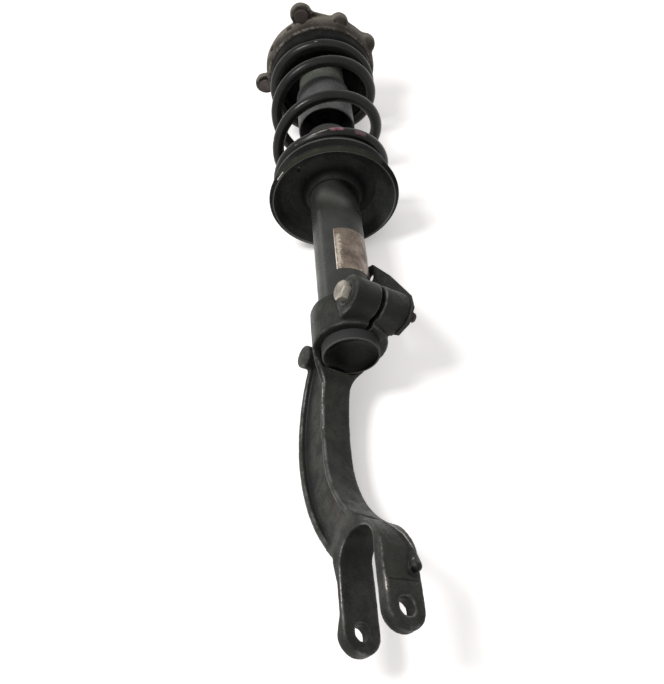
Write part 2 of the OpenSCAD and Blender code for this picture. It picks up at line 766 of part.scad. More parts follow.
module top_mount() {
    web_z = lobe_z + web_up;
    web_top = mount_top - face_step;
    color("#6d6860") difference() {
        union() {
            translate([0, 0, disc_z]) cylinder(h = disc_t, r = disc_r);
            translate([0, 0, disc_z]) cylinder(h = mount_h, r = hub_r);
            translate([0, 0, rim_z - over]) tube(rim_r, rim_r - rim_wall, rim_top - rim_z + over);
            translate([0, 0, plate_z]) cylinder(h = plate_t, r = rim_r - over);
            for (l = lobes) translate(ring_point(l[0], l[1], lobe_z)) cylinder(h = lobe_h, r = l[2]);
            for (a = rib_angles)
                rotate([0, 0, a]) translate([hub_r - over, -rib_t / 2, rim_z - over])
                    cube([rim_r - rim_wall - hub_r + 2 * over, rib_t, plate_z - rim_z + 2 * over]);
            for (i = [0, 1])
                translate([0, 0, web_z]) lobe_web(lobes[i], lobes[i + 1], web_top - web_z);
        }
        // housing of the rubber bush, with a smaller mouth for the bump stop's plate
        translate([0, 0, disc_z - over]) cylinder(h = mount_h + 2 * over, r = bush_r);
        for (l = lobes) {
            translate(ring_point(l[0], l[1], lobe_z - over)) cylinder(h = lobe_h + 2 * over, r = knurl_r);
            translate(ring_point(l[0], l[1], rim_z)) cylinder(h = lobe_z - rim_z, r = stud_head_r + head_gap);
        }
        // windows through the rim's wall, each with a slot above it through the plate
        for (a = windows) {
            translate([0, 0, rim_z]) intersection() {
                tube(rim_r + over, rim_r - rim_wall - over, plate_z - rim_z);
                wedge(2 * rim_r, a - window_arc / 2, a + window_arc / 2, plate_z - rim_z);
            }
            translate([0, 0, plate_z - over]) intersection() {
                tube(rim_r - rim_wall, window_in, plate_t + 2 * over);
                wedge(2 * rim_r, a - window_arc / 2, a + window_arc / 2, plate_t + 2 * over);
            }
        }
    }
}

module mount_studs() {
    color("#8b8272") for (l = lobes) translate(ring_point(l[0], l[1], 0)) {
        translate([0, 0, lobe_z - stud_head_h]) cylinder(h = stud_head_h, r = stud_head_r);
        translate([0, 0, lobe_z]) cylinder(h = lobe_h, r = knurl_r);
        translate([0, 0, mount_top]) cylinder(h = stud_len, d = stud_d);
    }
}

module mount_bush() {
    color("#161718") translate([0, 0, bush_z]) tube(bush_r, core_r, bush_h);
}

module bush_core() {
    color("#8f9296") translate([0, 0, core_z]) tube(core_r, thread_r, core_top - core_z);
}

module cup_washer() {
    color("#7c7a72") translate([0, 0, core_top]) tube(washer_r, thread_r, washer_t);
}

module rod_nut() {
    color("#a09a88") difference() {
        translate([0, 0, nut_z]) hexagon(nut_af, nut_h);
        translate([0, 0, nut_z - over]) cylinder(h = nut_h + 2 * over, r = thread_r);
    }
}

fork();
pinch_bolt();
press_nut();
hose_bracket();
damper_tube();
tube_end_cap();
locating_collar();
label_plate();
pressure_tube();
base_valve();
rod_guide();
rod_seal();
lower_spring_seat();
lower_spring_pad();
piston_rod();
piston();
piston_band();
piston_nut();
valve_discs();
rebound_stop();
coil_spring();
spring_isolator();
bump_stop();
bump_stop_plate();
dust_boot();
top_mount();
mount_studs();
mount_bush();
bush_core();
cup_washer();
rod_nut();
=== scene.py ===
# %% [markdown]
# # A front coilover, dressed
# The frame holds the measured solids: a damper clamped in a forged fork, a coil spring between
# a pressed seat and a cast mount. This lesson gives each one the shape and the finish that a
# maker's hand, a press or a mould leaves on it. All lengths in the tables are millimetres.

import math

import bmesh
import bpy
from mathutils import Matrix, Vector, noise


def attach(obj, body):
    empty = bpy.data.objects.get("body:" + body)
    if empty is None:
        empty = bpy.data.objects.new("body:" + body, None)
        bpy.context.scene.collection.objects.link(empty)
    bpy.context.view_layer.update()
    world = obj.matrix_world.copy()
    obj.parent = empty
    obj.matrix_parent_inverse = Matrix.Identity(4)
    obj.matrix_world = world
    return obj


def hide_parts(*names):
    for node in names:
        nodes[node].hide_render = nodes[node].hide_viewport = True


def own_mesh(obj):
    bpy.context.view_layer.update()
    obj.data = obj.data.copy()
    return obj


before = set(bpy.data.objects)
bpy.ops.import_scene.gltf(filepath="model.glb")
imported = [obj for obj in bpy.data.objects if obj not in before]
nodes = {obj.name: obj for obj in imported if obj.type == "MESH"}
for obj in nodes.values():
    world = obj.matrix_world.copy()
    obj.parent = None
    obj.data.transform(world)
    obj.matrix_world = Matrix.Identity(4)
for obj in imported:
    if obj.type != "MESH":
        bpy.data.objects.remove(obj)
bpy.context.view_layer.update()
MM = 0.001

# %% [markdown]
# ## The camera
# The strut lies on a pale floor and the camera looks along it from the fork's end, so the fork
# is large and the mount small. A camera is three directions and a place. Its matrix holds
# right, up and back as columns, which is simpler than turning it by three angles.

# %% Camera
IMAGE_WIDTH, IMAGE_HEIGHT = 664, 684
FOCAL_PIXELS = 800
SENSOR = 36
camera_right = Vector((-0.8445, 0.5309, -0.0700))
camera_up = Vector((0.2890, 0.5620, 0.7750))
camera_back = camera_right.cross(camera_up)
camera_place = Vector((371.6, 492.5, -217.2)) * MM

camera_data = bpy.data.cameras.new("camera")
camera_data.sensor_width = SENSOR
camera_data.lens = FOCAL_PIXELS * SENSOR / max(IMAGE_WIDTH, IMAGE_HEIGHT)
camera_data.clip_start = 0.01
camera = bpy.data.objects.new("camera", camera_data)
bpy.context.scene.collection.objects.link(camera)
turn = Matrix((camera_right, camera_up, camera_back)).transposed().to_4x4()
camera.matrix_world = Matrix.Translation(camera_place) @ turn
bpy.context.scene.camera = camera
bpy.context.scene.view_settings.view_transform = "Standard"
print("lens", round(camera_data.lens, 2))

# %% [markdown]
# ## Small tools for node trees
# A material is a graph. These helpers add a node, set its inputs by name and wire it in one
# line, so that a recipe reads from left to right as the graph does.


# %% Node helpers
def add_node(tree, kind, settings=None, **inputs):
    node = tree.nodes.new("ShaderNode" + kind)
    for key, value in (settings or {}).items():
        setattr(node, key, value)
    for key, value in inputs.items():
        socket = node.inputs[key.replace("_", " ")]
        if isinstance(value, bpy.types.NodeSocket):
            tree.links.new(value, socket)
        else:
            socket.default_value = value
    return node


def math_node(tree, operation, a, b=0.0, clamp=False):
    node = add_node(tree, "Math", {"operation": operation, "use_clamp": clamp})
    for socket, value in zip(node.inputs, (a, b)):
        if isinstance(value, bpy.types.NodeSocket):
            tree.links.new(value, socket)
        else:
            socket.default_value = value
    return node.outputs[0]


def ramp(tree, value, low, high, to_low=0.0, to_high=1.0):
    node = add_node(tree, "MapRange", {"interpolation_type": "SMOOTHSTEP"}, Value=value)
    for name, number in (("From Min", low), ("From Max", high), ("To Min", to_low), ("To Max", to_high)):
        node.inputs[name].default_value = number
    return node.outputs["Result"]


def mix_colour(tree, factor, a, b):
    node = add_node(tree, "Mix", {"data_type": "RGBA"})
    for socket, value in ((node.inputs[0], factor), (node.inputs[6], a), (node.inputs[7], b)):
        if isinstance(value, bpy.types.NodeSocket):
            tree.links.new(value, socket)
        else:
            socket.default_value = (*value, 1) if isinstance(value, tuple) else value
    return node.outputs[2]


def new_group(name, inputs, outputs):
    group = bpy.data.node_groups.new(name, "ShaderNodeTree")
    for socket, kind, value in inputs:
        made = group.interface.new_socket(socket, in_out="INPUT", socket_type="NodeSocket" + kind)
        if value is not None:
            made.default_value = value
    for socket, kind in outputs:
        group.interface.new_socket(socket, in_out="OUTPUT", socket_type="NodeSocket" + kind)
    return group, group.nodes.new("NodeGroupInput"), group.nodes.new("NodeGroupOutput")


# %% [markdown]
# ## Effects that several finishes share
# Grain, edge wear, dirt and scratches turn up on nearly every part of a used strut, each at its
# own scale. Each one is a node group: it is built once, and a material places it with its own
# numbers. A group only gives masks and heights, and the shader stays in the material. Grain comes
# first: no paint is one flat colour, so a slow noise drifts its tone and a fine one gives it tooth.


# %% Grain: slow colour change and a fine height
def grain_group():
    group, start, end = new_group("grain", [("Vector", "Vector", None), ("Scale", "Float", 300.0)],
                                  [("Tone", "Float"), ("Height", "Float")])
    vector, scale = start.outputs[:2]
    slow = math_node(group, "MULTIPLY", scale, 0.07)
    tone = add_node(group, "TexNoise", Vector=vector, Scale=slow, Detail=5.0, Roughness=0.6)
    fine = add_node(group, "TexNoise", Vector=vector, Scale=scale, Detail=3.0, Roughness=0.55)
    lumps = add_node(group, "TexVoronoi", {"feature": "SMOOTH_F1"}, Vector=vector, Scale=scale)
    height = math_node(group, "ADD", math_node(group, "MULTIPLY", fine.outputs[0], 0.7),
                       math_node(group, "MULTIPLY", lumps.outputs[0], 0.3))
    mixed = math_node(group, "ADD", math_node(group, "MULTIPLY", tone.outputs[0], 0.6),
                      math_node(group, "MULTIPLY", fine.outputs[0], 0.4))
    group.links.new(ramp(group, mixed, 0.37, 0.63), end.inputs["Tone"])
    group.links.new(height, end.inputs["Height"])
    return group


GRAIN = grain_group()


# %% [markdown]
# ## Edges and hollows
# Paint goes first where a hand or a spanner meets an edge, and painted shade darkens the hollows, where little
# light reaches.
# Pointiness tells how convex or concave the surface is at a point, so one number finds both. Noise
# then breaks the edge into patches, since real wear is never a clean line.


# %% Edge wear: where the surface is sharply convex, broken up by noise
def wear_group():
    group, start, end = new_group(
        "edge_wear", [("Vector", "Vector", None), ("Scale", "Float", 48.0), ("Amount", "Float", 1.0),
                      ("Sharpness", "Float", 0.52)], [("Mask", "Float")])
    vector, scale, amount, sharpness = start.outputs[:4]
    over = math_node(group, "SUBTRACT", add_node(group, "NewGeometry").outputs["Pointiness"], sharpness)
    convex = ramp(group, over, 0.0, 0.035)
    patches = add_node(group, "TexNoise", Vector=vector, Scale=scale, Detail=6.0, Roughness=0.7)
    broken = ramp(group, patches.outputs[0], 0.42, 0.62, 0.1, 1.0)
    mask = math_node(group, "MULTIPLY", math_node(group, "MULTIPLY", convex, broken), amount, clamp=True)
    group.links.new(mask, end.inputs["Mask"])
    return group


WEAR = wear_group()


# %% Hollows: painted shade, dark where the surface is sharply concave
def hollow_shade_group():
    group, start, end = new_group(
        "hollows", [("Vector", "Vector", None), ("Amount", "Float", 0.8)], [("Mask", "Float")])
    vector, amount = start.outputs[:2]
    under = math_node(group, "SUBTRACT", 0.497, add_node(group, "NewGeometry").outputs["Pointiness"])
    concave = ramp(group, under, 0.0, 0.02)
    patches = add_node(group, "TexNoise", Vector=vector, Scale=120.0, Detail=3.0)
    mask = math_node(group, "MULTIPLY", concave, ramp(group, patches.outputs[0], 0.2, 0.5, 0.6, 1.0))
    group.links.new(math_node(group, "MULTIPLY", mask, amount, clamp=True), end.inputs["Mask"])
    return group


SHADE_IN_HOLLOWS = hollow_shade_group()


# %% [markdown]
# ## Painted shade, dirt and chips
# Faces that look down the strut are darkened as painted shade, so the mask reads the normal. Dirt lies in
# soft patches with grit in them, and a stone knocks out a chip, which is one cell of a Voronoi
# pattern in every ten or so.


# %% Painted shade on the faces that look down the strut, towards the road
def down_shade_group():
    group, start, end = new_group(
        "down_shade", [("Vector", "Vector", None), ("Amount", "Float", 0.8)], [("Mask", "Float")])
    vector, amount = start.outputs[:2]
    facing = add_node(group, "SeparateXYZ", Vector=add_node(group, "NewGeometry").outputs["Normal"]).outputs["Z"]
    down = ramp(group, math_node(group, "MULTIPLY", facing, -1.0), 0.15, 0.75)
    patches = add_node(group, "TexNoise", Vector=vector, Scale=60.0, Detail=5.0, Roughness=0.6)
    uneven = ramp(group, patches.outputs[0], 0.3, 0.6, 0.65, 1.0)
    mask = math_node(group, "MULTIPLY", math_node(group, "MULTIPLY", down, uneven), amount, clamp=True)
    group.links.new(mask, end.inputs["Mask"])
    return group


DOWN_SHADE = down_shade_group()


# %% Dirt: soft patches with grit in them
def dirt_group():
    group, start, end = new_group(
        "dirt", [("Vector", "Vector", None), ("Scale", "Float", 25.0), ("Amount", "Float", 0.5)],
        [("Mask", "Float")])
    vector, scale, amount = start.outputs[:3]
    patches = add_node(group, "TexNoise", Vector=vector, Scale=scale, Detail=7.0, Roughness=0.65,
                       Distortion=0.6)
    speckle = add_node(group, "TexNoise", Vector=vector, Scale=math_node(group, "MULTIPLY", scale, 22.0),
                       Detail=2.0)
    soft = ramp(group, patches.outputs[0], 0.42, 0.68)
    grit = ramp(group, speckle.outputs[0], 0.35, 0.65, 0.5, 1.0)
    mask = math_node(group, "MULTIPLY", math_node(group, "MULTIPLY", soft, grit), amount, clamp=True)
    group.links.new(mask, end.inputs["Mask"])
    return group


DIRT = dirt_group()


# %% Chips: small sharp spots where paint is knocked off
def chip_group():
    group, start, end = new_group(
        "chips", [("Vector", "Vector", None), ("Scale", "Float", 160.0), ("Size", "Float", 0.1)],
        [("Mask", "Float")])
    vector, scale, size = start.outputs[:3]
    cells = add_node(group, "TexVoronoi", Vector=vector, Scale=scale, Randomness=1.0)
    pick = ramp(group, add_node(group, "SeparateColor", Color=cells.outputs["Color"]).outputs[0], 0.9, 0.92)
    spot = math_node(group, "LESS_THAN", cells.outputs["Distance"], size)
    group.links.new(math_node(group, "MULTIPLY", spot, pick), end.inputs["Mask"])
    return group


CHIPS = chip_group()


# %% [markdown]
# ## Marks in one place
# Noise makes wear that is everywhere. A knock, a scrape, a dab of paint, a painted highlight or a patch of
# painted shade sits at one spot, so it is given by two points and a width. The group measures how far a point of
# the surface is from the line between them and lets noise eat into the edge. A zone that runs right round a
# turned part is given by its heights and radii instead; on the seat and the cap such zones paint light and shade.


# %% Streak: a ragged mark along a short line
def streak_group():
    group, start, end = new_group(
        "streak", [("Vector", "Vector", None), ("Start", "Vector", None), ("Along", "Vector", None),
                   ("Width", "Float", 0.001), ("Ragged", "Float", 1.0), ("Soft", "Float", 0.6)],
        [("Mask", "Float")])
    vector, first, along, width, ragged, soft = start.outputs[:6]

    def vectors(operation, a, b, result=0):
        node = add_node(group, "VectorMath", {"operation": operation})
        group.links.new(a, node.inputs[0])
        group.links.new(b, node.inputs[1])
        return node.outputs[result]

    from_start = vectors("SUBTRACT", vector, first)
    share = math_node(group, "DIVIDE", vectors("DOT_PRODUCT", from_start, along, 1),
                      vectors("DOT_PRODUCT", along, along, 1), clamp=True)
    foot = add_node(group, "VectorMath", {"operation": "SCALE"}, Scale=share)
    group.links.new(along, foot.inputs[0])
    gap = vectors("DISTANCE", from_start, foot.outputs[0], 1)
    bites = add_node(group, "TexNoise", Vector=vector, Scale=420.0, Detail=4.0, Roughness=0.65)
    eaten = math_node(group, "MULTIPLY", math_node(group, "MULTIPLY", bites.outputs[0], ragged), width)
    reach = math_node(group, "MULTIPLY", width, 1.6)
    left = math_node(group, "SUBTRACT", reach, math_node(group, "ADD", gap, eaten))
    mask = ramp(group, math_node(group, "DIVIDE", left, math_node(group, "MULTIPLY", width, soft)), 0.0, 1.0)
    group.links.new(mask, end.inputs["Mask"])
    return group


STREAK = streak_group()


# %% Band: a zone of a turned part, between two heights and two radii
def band_group():
    group, start, end = new_group(
        "band", [("Vector", "Vector", None), ("Low", "Float", 0.0), ("High", "Float", 1.0),
                 ("Inner", "Float", 0.0), ("Outer", "Float", 1.0), ("Soft", "Float", 0.001)],
        [("Mask", "Float")])
    vector, low, high, inner, outer, soft = start.outputs[:6]
    height = add_node(group, "SeparateXYZ", Vector=vector).outputs["Z"]
    flat = add_node(group, "VectorMath", {"operation": "MULTIPLY"})
    group.links.new(vector, flat.inputs[0])
    flat.inputs[1].default_value = (1, 1, 0)
    out = add_node(group, "VectorMath", {"operation": "LENGTH"})
    group.links.new(flat.outputs[0], out.inputs[0])
    radius = out.outputs["Value"]
    mask = None
    for a, b in ((height, low), (high, height), (radius, inner), (outer, radius)):
        share = math_node(group, "DIVIDE", math_node(group, "SUBTRACT", a, b), soft, clamp=True)
        mask = share if mask is None else math_node(group, "MULTIPLY", mask, share)
    group.links.new(mask, end.inputs["Mask"])
    return group


BAND = band_group()
print("effects:", ", ".join(group.name for group in (GRAIN, WEAR, SHADE_IN_HOLLOWS, DOWN_SHADE, DIRT, CHIPS, STREAK, BAND)))

# %% [markdown]
# ## One recipe for a worn finish
# Paint, cast metal, rubber and foil differ in their numbers more than in their build. The recipe
# layers a base of two tones, then dirt, zones of a turned part, painted shade in hollows and on faces that look
# down, then bare metal on the edges, then chips and single marks; some zones and marks paint light and shade. A
# number that is the same all over is set on the shader itself.


# %% The recipe
def place_group(tree, group, vector, **inputs):
    node = tree.nodes.new("ShaderNodeGroup")
    node.node_tree = group
    tree.links.new(vector, node.inputs["Vector"])
    for key, value in inputs.items():
        node.inputs[key].default_value = value
    return node


def worn_finish(name, dark, light, rough=(0.45, 0.65), metallic=0.0, grain=600, bump=0.00008,
                wear=None, wear_amount=0.8, dirt=None, dirt_amount=0.4, dirt_scale=25, chips=None,
                chip_size=0.08, specular=0.5, stretch=None, marks=(), bands=(), edge=0.52,
                hollow_shade=None, hollow_shade_amount=0.85, down_shade=None, down_shade_amount=0.8):
    material = bpy.data.materials.new(name)
    material.use_nodes = True
    tree = material.node_tree
    shader = tree.nodes["Principled BSDF"]
    vector = add_node(tree, "TexCoord").outputs["Object"]
    if stretch:
        vector = add_node(tree, "Mapping", Vector=vector, Scale=stretch).outputs[0]
    base = place_group(tree, GRAIN, vector, Scale=grain)
    colour = mix_colour(tree, base.outputs["Tone"], dark, light)
    roughness = ramp(tree, base.outputs["Tone"], 0.0, 1.0, rough[1], rough[0])
    metal = None
    if dirt:
        mask = place_group(tree, DIRT, vector, Scale=dirt_scale, Amount=dirt_amount).outputs["Mask"]
        colour = mix_colour(tree, mask, colour, dirt)
        roughness = math_node(tree, "ADD", roughness, math_node(tree, "MULTIPLY", mask, 0.3))
    for low, high, inner, outer, soft, strength, tint in bands:
        zone = place_group(tree, BAND, vector, Low=low * MM, High=high * MM, Inner=inner * MM,
                           Outer=outer * MM, Soft=soft * MM)
        zone_mask = math_node(tree, "MULTIPLY", zone.outputs[0], strength)
        colour = mix_colour(tree, zone_mask, colour, tint)
        roughness = math_node(tree, "ADD", roughness, math_node(tree, "MULTIPLY", zone_mask, 0.3))
    # Painted shade in the hollows.
    if hollow_shade:
        mask = place_group(tree, SHADE_IN_HOLLOWS, vector, Amount=hollow_shade_amount).outputs["Mask"]
        colour = mix_colour(tree, mask, colour, hollow_shade)
    # Painted shade on the faces that look down the strut.
    if down_shade:
        mask = place_group(tree, DOWN_SHADE, vector, Amount=down_shade_amount).outputs["Mask"]
        colour = mix_colour(tree, mask, colour, down_shade)
    if wear:
        mask = place_group(tree, WEAR, vector, Amount=wear_amount, Sharpness=edge).outputs["Mask"]
        colour = mix_colour(tree, mask, colour, wear)
        roughness = math_node(tree, "SUBTRACT", roughness, math_node(tree, "MULTIPLY", mask, 0.12))
        metal = mask
    if chips:
        mask = place_group(tree, CHIPS, vector, Size=chip_size).outputs["Mask"]
        colour = mix_colour(tree, mask, colour, chips)
    for first, last, width, ragged, strength, tint, *soft in marks:  # the softness may be left out
        mark = place_group(tree, STREAK, vector, Start=Vector(first) * MM, Width=width * MM, Ragged=ragged,
                           Along=(Vector(last) - Vector(first)) * MM, Soft=soft[0] if soft else 0.6)
        colour = mix_colour(tree, math_node(tree, "MULTIPLY", mark.outputs[0], strength), colour, tint)
    tree.links.new(colour, shader.inputs["Base Color"])
    tree.links.new(roughness, shader.inputs["Roughness"])
    if metal is not None and not metallic:
        tree.links.new(math_node(tree, "MULTIPLY", metal, 0.6), shader.inputs["Metallic"])
    else:
        shader.inputs["Metallic"].default_value = metallic
    shader.inputs["Specular IOR Level"].default_value = specular
    relief = add_node(tree, "Bump", Height=base.outputs["Height"], Strength=1.0, Distance=bump)
    tree.links.new(relief.outputs[0], shader.inputs["Normal"])
    return material


# %% [markdown]
# ## The finishes
# The fork is forged iron under a thin black coat: a coarse grain and lighter edges, with painted shade in its
# hollows and on its faces that look down. The tube and the seat are sprayed and shine more. The mount is bare
# cast aluminium that years of road dirt have turned brown, with the same painted shade. Beside its finish a part
# has its own marks: the paint dabs on the spring's wire and a painted highlight on its lowest coil, chalky
# scrapes and painted highlights along the fork's edges, a lighter patch, a painted highlight and painted shade on
# the tube, painted light and shade on the seat and the cap, and a painted glare on the label.

# %% Colours of the marks
# The chalk colour serves both real chips and painted highlights; the bare grey is only a painted highlight.
CHALK_AND_HIGHLIGHT, PAINTED_HIGHLIGHT, RUST = (0.62, 0.56, 0.52), (0.30, 0.30, 0.29), (0.055, 0.026, 0.02)
SHADE, BLUE_BLACK = (0.002, 0.002, 0.002), (0.010, 0.0105, 0.0145)
PINK, CRIMSON, DULL_PINK = (0.32, 0.15, 0.18), (0.19, 0.04, 0.07), (0.21, 0.12, 0.12)
# The third colour on the next line paints a highlight streak on the tube.
GREY_FILM, PALE_PATCH, PAINTED_HIGHLIGHT_STREAK = (0.07, 0.072, 0.066), (0.13, 0.13, 0.12), (0.14, 0.14, 0.13)
# The first colour on the next line paints the lit near side of the seat's lip.
PAINTED_LIT_GREEN, DARKER_PATCH, FOIL_BARE = (0.032, 0.035, 0.025), (0.009, 0.0095, 0.008), (0.8, 0.74, 0.64)

# %% Marks: first point, last point, half width, raggedness, strength, colour, softness
SPRING_MARKS = [
    ((36, 58, 532), (27.5, 62.6, 532.5), 5.5, 1.6, 0.9, PINK),
    ((32.5, 60, 531.5), (30, 61.5, 531.5), 2.4, 1.3, 0.8, CRIMSON),
    ((9.5, 68, 532), (-0.5, 68.8, 534), 5.5, 1.9, 0.8, DULL_PINK),
    ((64.8, -23.5, 588), (65.5, -22.5, 585), 1.8, 1.5, 0.9, CHALK_AND_HIGHLIGHT),
    ((19.4, 60.9, 714.5), (17, 61.5, 713), 1.4, 1.6, 0.9, CHALK_AND_HIGHLIGHT),
    ((42, 54.2, 714.3), (43.5, 53, 714), 1.3, 1.8, 0.6, CHALK_AND_HIGHLIGHT),
    # Painted highlight along the lit side of the lowest coil, in two pieces.
    ((63.4, 22.6, 525), (54.2, 42.2, 526.5), 0.9, 1.3, 0.6, PAINTED_HIGHLIGHT),
    ((54.2, 42.2, 526.5), (41, 56.3, 530), 0.9, 1.3, 0.7, CHALK_AND_HIGHLIGHT),
]
FORK_MARKS = [
    ((15.5, -29.5, 246), (15.5, -33.5, 226), 1.3, 2.2, 0.9, CHALK_AND_HIGHLIGHT),
    ((15.5, -33.5, 226), (15.5, -35.8, 208), 1.1, 2.4, 0.8, CHALK_AND_HIGHLIGHT),
    ((15.5, -36, 196), (15.5, -36, 194.5), 1.0, 1.4, 0.8, CHALK_AND_HIGHLIGHT),
    # Painted highlights along the front edges of both ears.
    ((17.6, 35.6, 57), (17.6, 35.6, 10), 1.5, 2.0, 0.85, CHALK_AND_HIGHLIGHT),
    ((17.4, -24.5, 52), (17.9, -24.8, 16), 1.5, 2.2, 0.75, CHALK_AND_HIGHLIGHT),
    ((0.9, -24, 47), (0.9, -24, 25), 1.2, 1.4, 0.35, GREY_FILM, 1.6),
    # Painted highlight along the seam ridge over the shoulder.
    ((0, 21.2, 75.6), (-8, 32.6, 61.4), 1.0, 1.2, 0.9, CHALK_AND_HIGHLIGHT),
    ((-8, 32.6, 61.4), (-12.2, 38.3, 47), 1.0, 1.2, 0.8, CHALK_AND_HIGHLIGHT),
    ((10, -42, 124), (11, -29, 102), 4.2, 1.5, 0.6, RUST, 1.0),
    ((11, -28, 101), (14, -17, 88), 4.0, 1.5, 0.5, RUST, 1.0),
    ((10, -60, 252), (10, -70, 205), 6.0, 0.4, 0.6, BLUE_BLACK, 1.6),
    ((10, -70, 205), (10, -67, 150), 5.0, 0.4, 0.4, BLUE_BLACK, 1.6),
    ((10, -44, 238), (10, -44.5, 200), 2.2, 1.7, 0.6, SHADE, 0.9),
    ((13.6, 35.9, 19.3), (-14, 35.4, 21.4), 1.1, 1.0, 0.95, SHADE),
    # Painted highlight on the nose.
    ((-6.5, 40, 36.5), (-8, 40.5, 37), 1.3, 1.2, 0.6, PAINTED_HIGHLIGHT),
    ((17, 30, -5.5), (14, 29.5, -11.2), 3.2, 1.2, 0.9, SHADE),
    ((14, 29.5, -11.2), (8.2, 28, -16), 2.8, 1.2, 0.85, SHADE),
    ((8.2, 28, -16), (0, 28, -18), 2.4, 1.2, 0.85, SHADE),
    ((-10, 41.5, 30), (-9, 40, 28.5), 3.8, 0.7, 0.9, SHADE),
    ((-7, 35.5, 26), (-11, 35.5, 25), 2.6, 1.0, 0.7, SHADE),
    ((0, -23.9, 66), (0, -23.9, 60), 16, 0.3, 0.85, SHADE, 1.5),
    ((24, 56, 280), (12, 56, 281), 13, 0.4, 0.9, SHADE, 1.5),
    ((-14, 56, 279), (-24, 56, 280), 10, 0.4, 0.4, SHADE, 1.5),
    # A soft darker patch on the channel floor by the knuckle.
    ((11, -36, 116), (16, -9, 78), 11, 0.4, 0.5, DARKER_PATCH, 1.5),
]
TUBE_MARKS = [
    # A lighter soft patch at the top of the tube.
    ((25, 12, 474), (8, 26.8, 456), 11.5, 0.5, 0.75, PALE_PATCH, 1.7),
    ((4, 27.7, 491), (-17, 22, 474), 11.0, 0.4, 0.9, SHADE, 1.2),
    # Painted highlight in a long streak down the tube's lit side.
    ((27.5, 5, 450), (27.5, 5, 325), 4.5, 0.8, 0.5, PAINTED_HIGHLIGHT_STREAK, 1.7),
    ((2, 28, 348), (-8, 26.8, 336), 6.0, 0.8, 0.6, SHADE, 1.5),
]
LIP_R, LIP_Z, LIP_STEP = 73.6, 489.6, 20


def around_lip(turn):
    return LIP_R * math.cos(math.radians(turn)), LIP_R * math.sin(math.radians(turn)), LIP_Z


# Painted light: the near side of the lip is painted lighter and greenish, where the lamp falls on it.
SEAT_MARKS = [(around_lip(turn), around_lip(turn + LIP_STEP), 3.2, 0.5, 0.85, PAINTED_LIT_GREEN, 1.1)
              for turn in range(2, 100, LIP_STEP)]
SEAT_MARKS += [
    ((72.6, 7, 488.6), (72.7, -4.6, 488.6), 1.2, 1.5, 0.9, CHALK_AND_HIGHLIGHT),
    # A dimple in the dish: its hole is painted shade and its rim a painted highlight.
    ((49, 3.6, 509.5), (49.3, 4, 509.5), 2.6, 0.8, 0.9, SHADE),
    ((51.8, 8.3, 509), (51.9, 8.5, 509), 1.3, 0.9, 0.8, PAINTED_HIGHLIGHT),
]
LABEL_MARKS = [
    # Painted glare: a pale streak down the foil, as a reflection of the lamp.
    ((17.6, 22.3, 402), (18.6, 21.4, 358), 6.5, 2.0, 0.65, (0.66, 0.58, 0.47)),
    ((20.6, 19.5, 353.4), (20.6, 19.5, 412.5), 0.6, 1.3, 0.7, FOIL_BARE),
    ((-4, 28.1, 355), (18.6, 21.4, 354), 1.3, 1.7, 0.8, FOIL_BARE),
]
ZINC_MARKS = [((-41, 44.5, 294.8), (-54, 44.5, 294.8), 6.0, 0.3, 0.93, (0.030, 0.026, 0.022))]
FOAM_MARKS = [((0, 0, 600), (0, 0, 655), 22, 0.3, 0.98, SHADE)]

# %% Zones: low, high, inner radius, outer radius, soft edge, strength, colour
# The seat's zones paint light and shade: painted shade on the wall under the pad, round the tube and on the rim,
# painted highlights along the lip's inner edge and the top shoulder.
SEAT_LIGHT_AND_SHADE = [
    (495.5, 512.4, 68.0, 80, 0.8, 0.97, (0.0008, 0.0008, 0.0008)),
    (486, 514, 20, 49, 13, 0.9, (0.001, 0.001, 0.001)),
    (486, 495, 70.5, 80, 1.5, 0.9, (0.002, 0.0022, 0.002)),
    (486.6, 489, 69.2, 71.4, 0.5, 0.8, (0.15, 0.155, 0.145)),
    (512.4, 516.5, 66.5, 70.5, 0.8, 0.8, (0.10, 0.105, 0.095)),
]
MOUNT_BANDS = [
    (742, 755, 62, 80, 4, 0.75, (0.028, 0.023, 0.019)),
    (757, 776, 55, 92, 5, 0.6, (0.25, 0.23, 0.195)),
]
# The cap's zones paint its lit side lighter and a highlight along its rim.
CAP_PAINTED_LIGHT = [
    (260.8, 273, 28.2, 31, 0.5, 0.9, (0.042, 0.043, 0.042)),
    (259.5, 261.2, 26.5, 30, 0.5, 0.8, (0.11, 0.112, 0.11)),
]

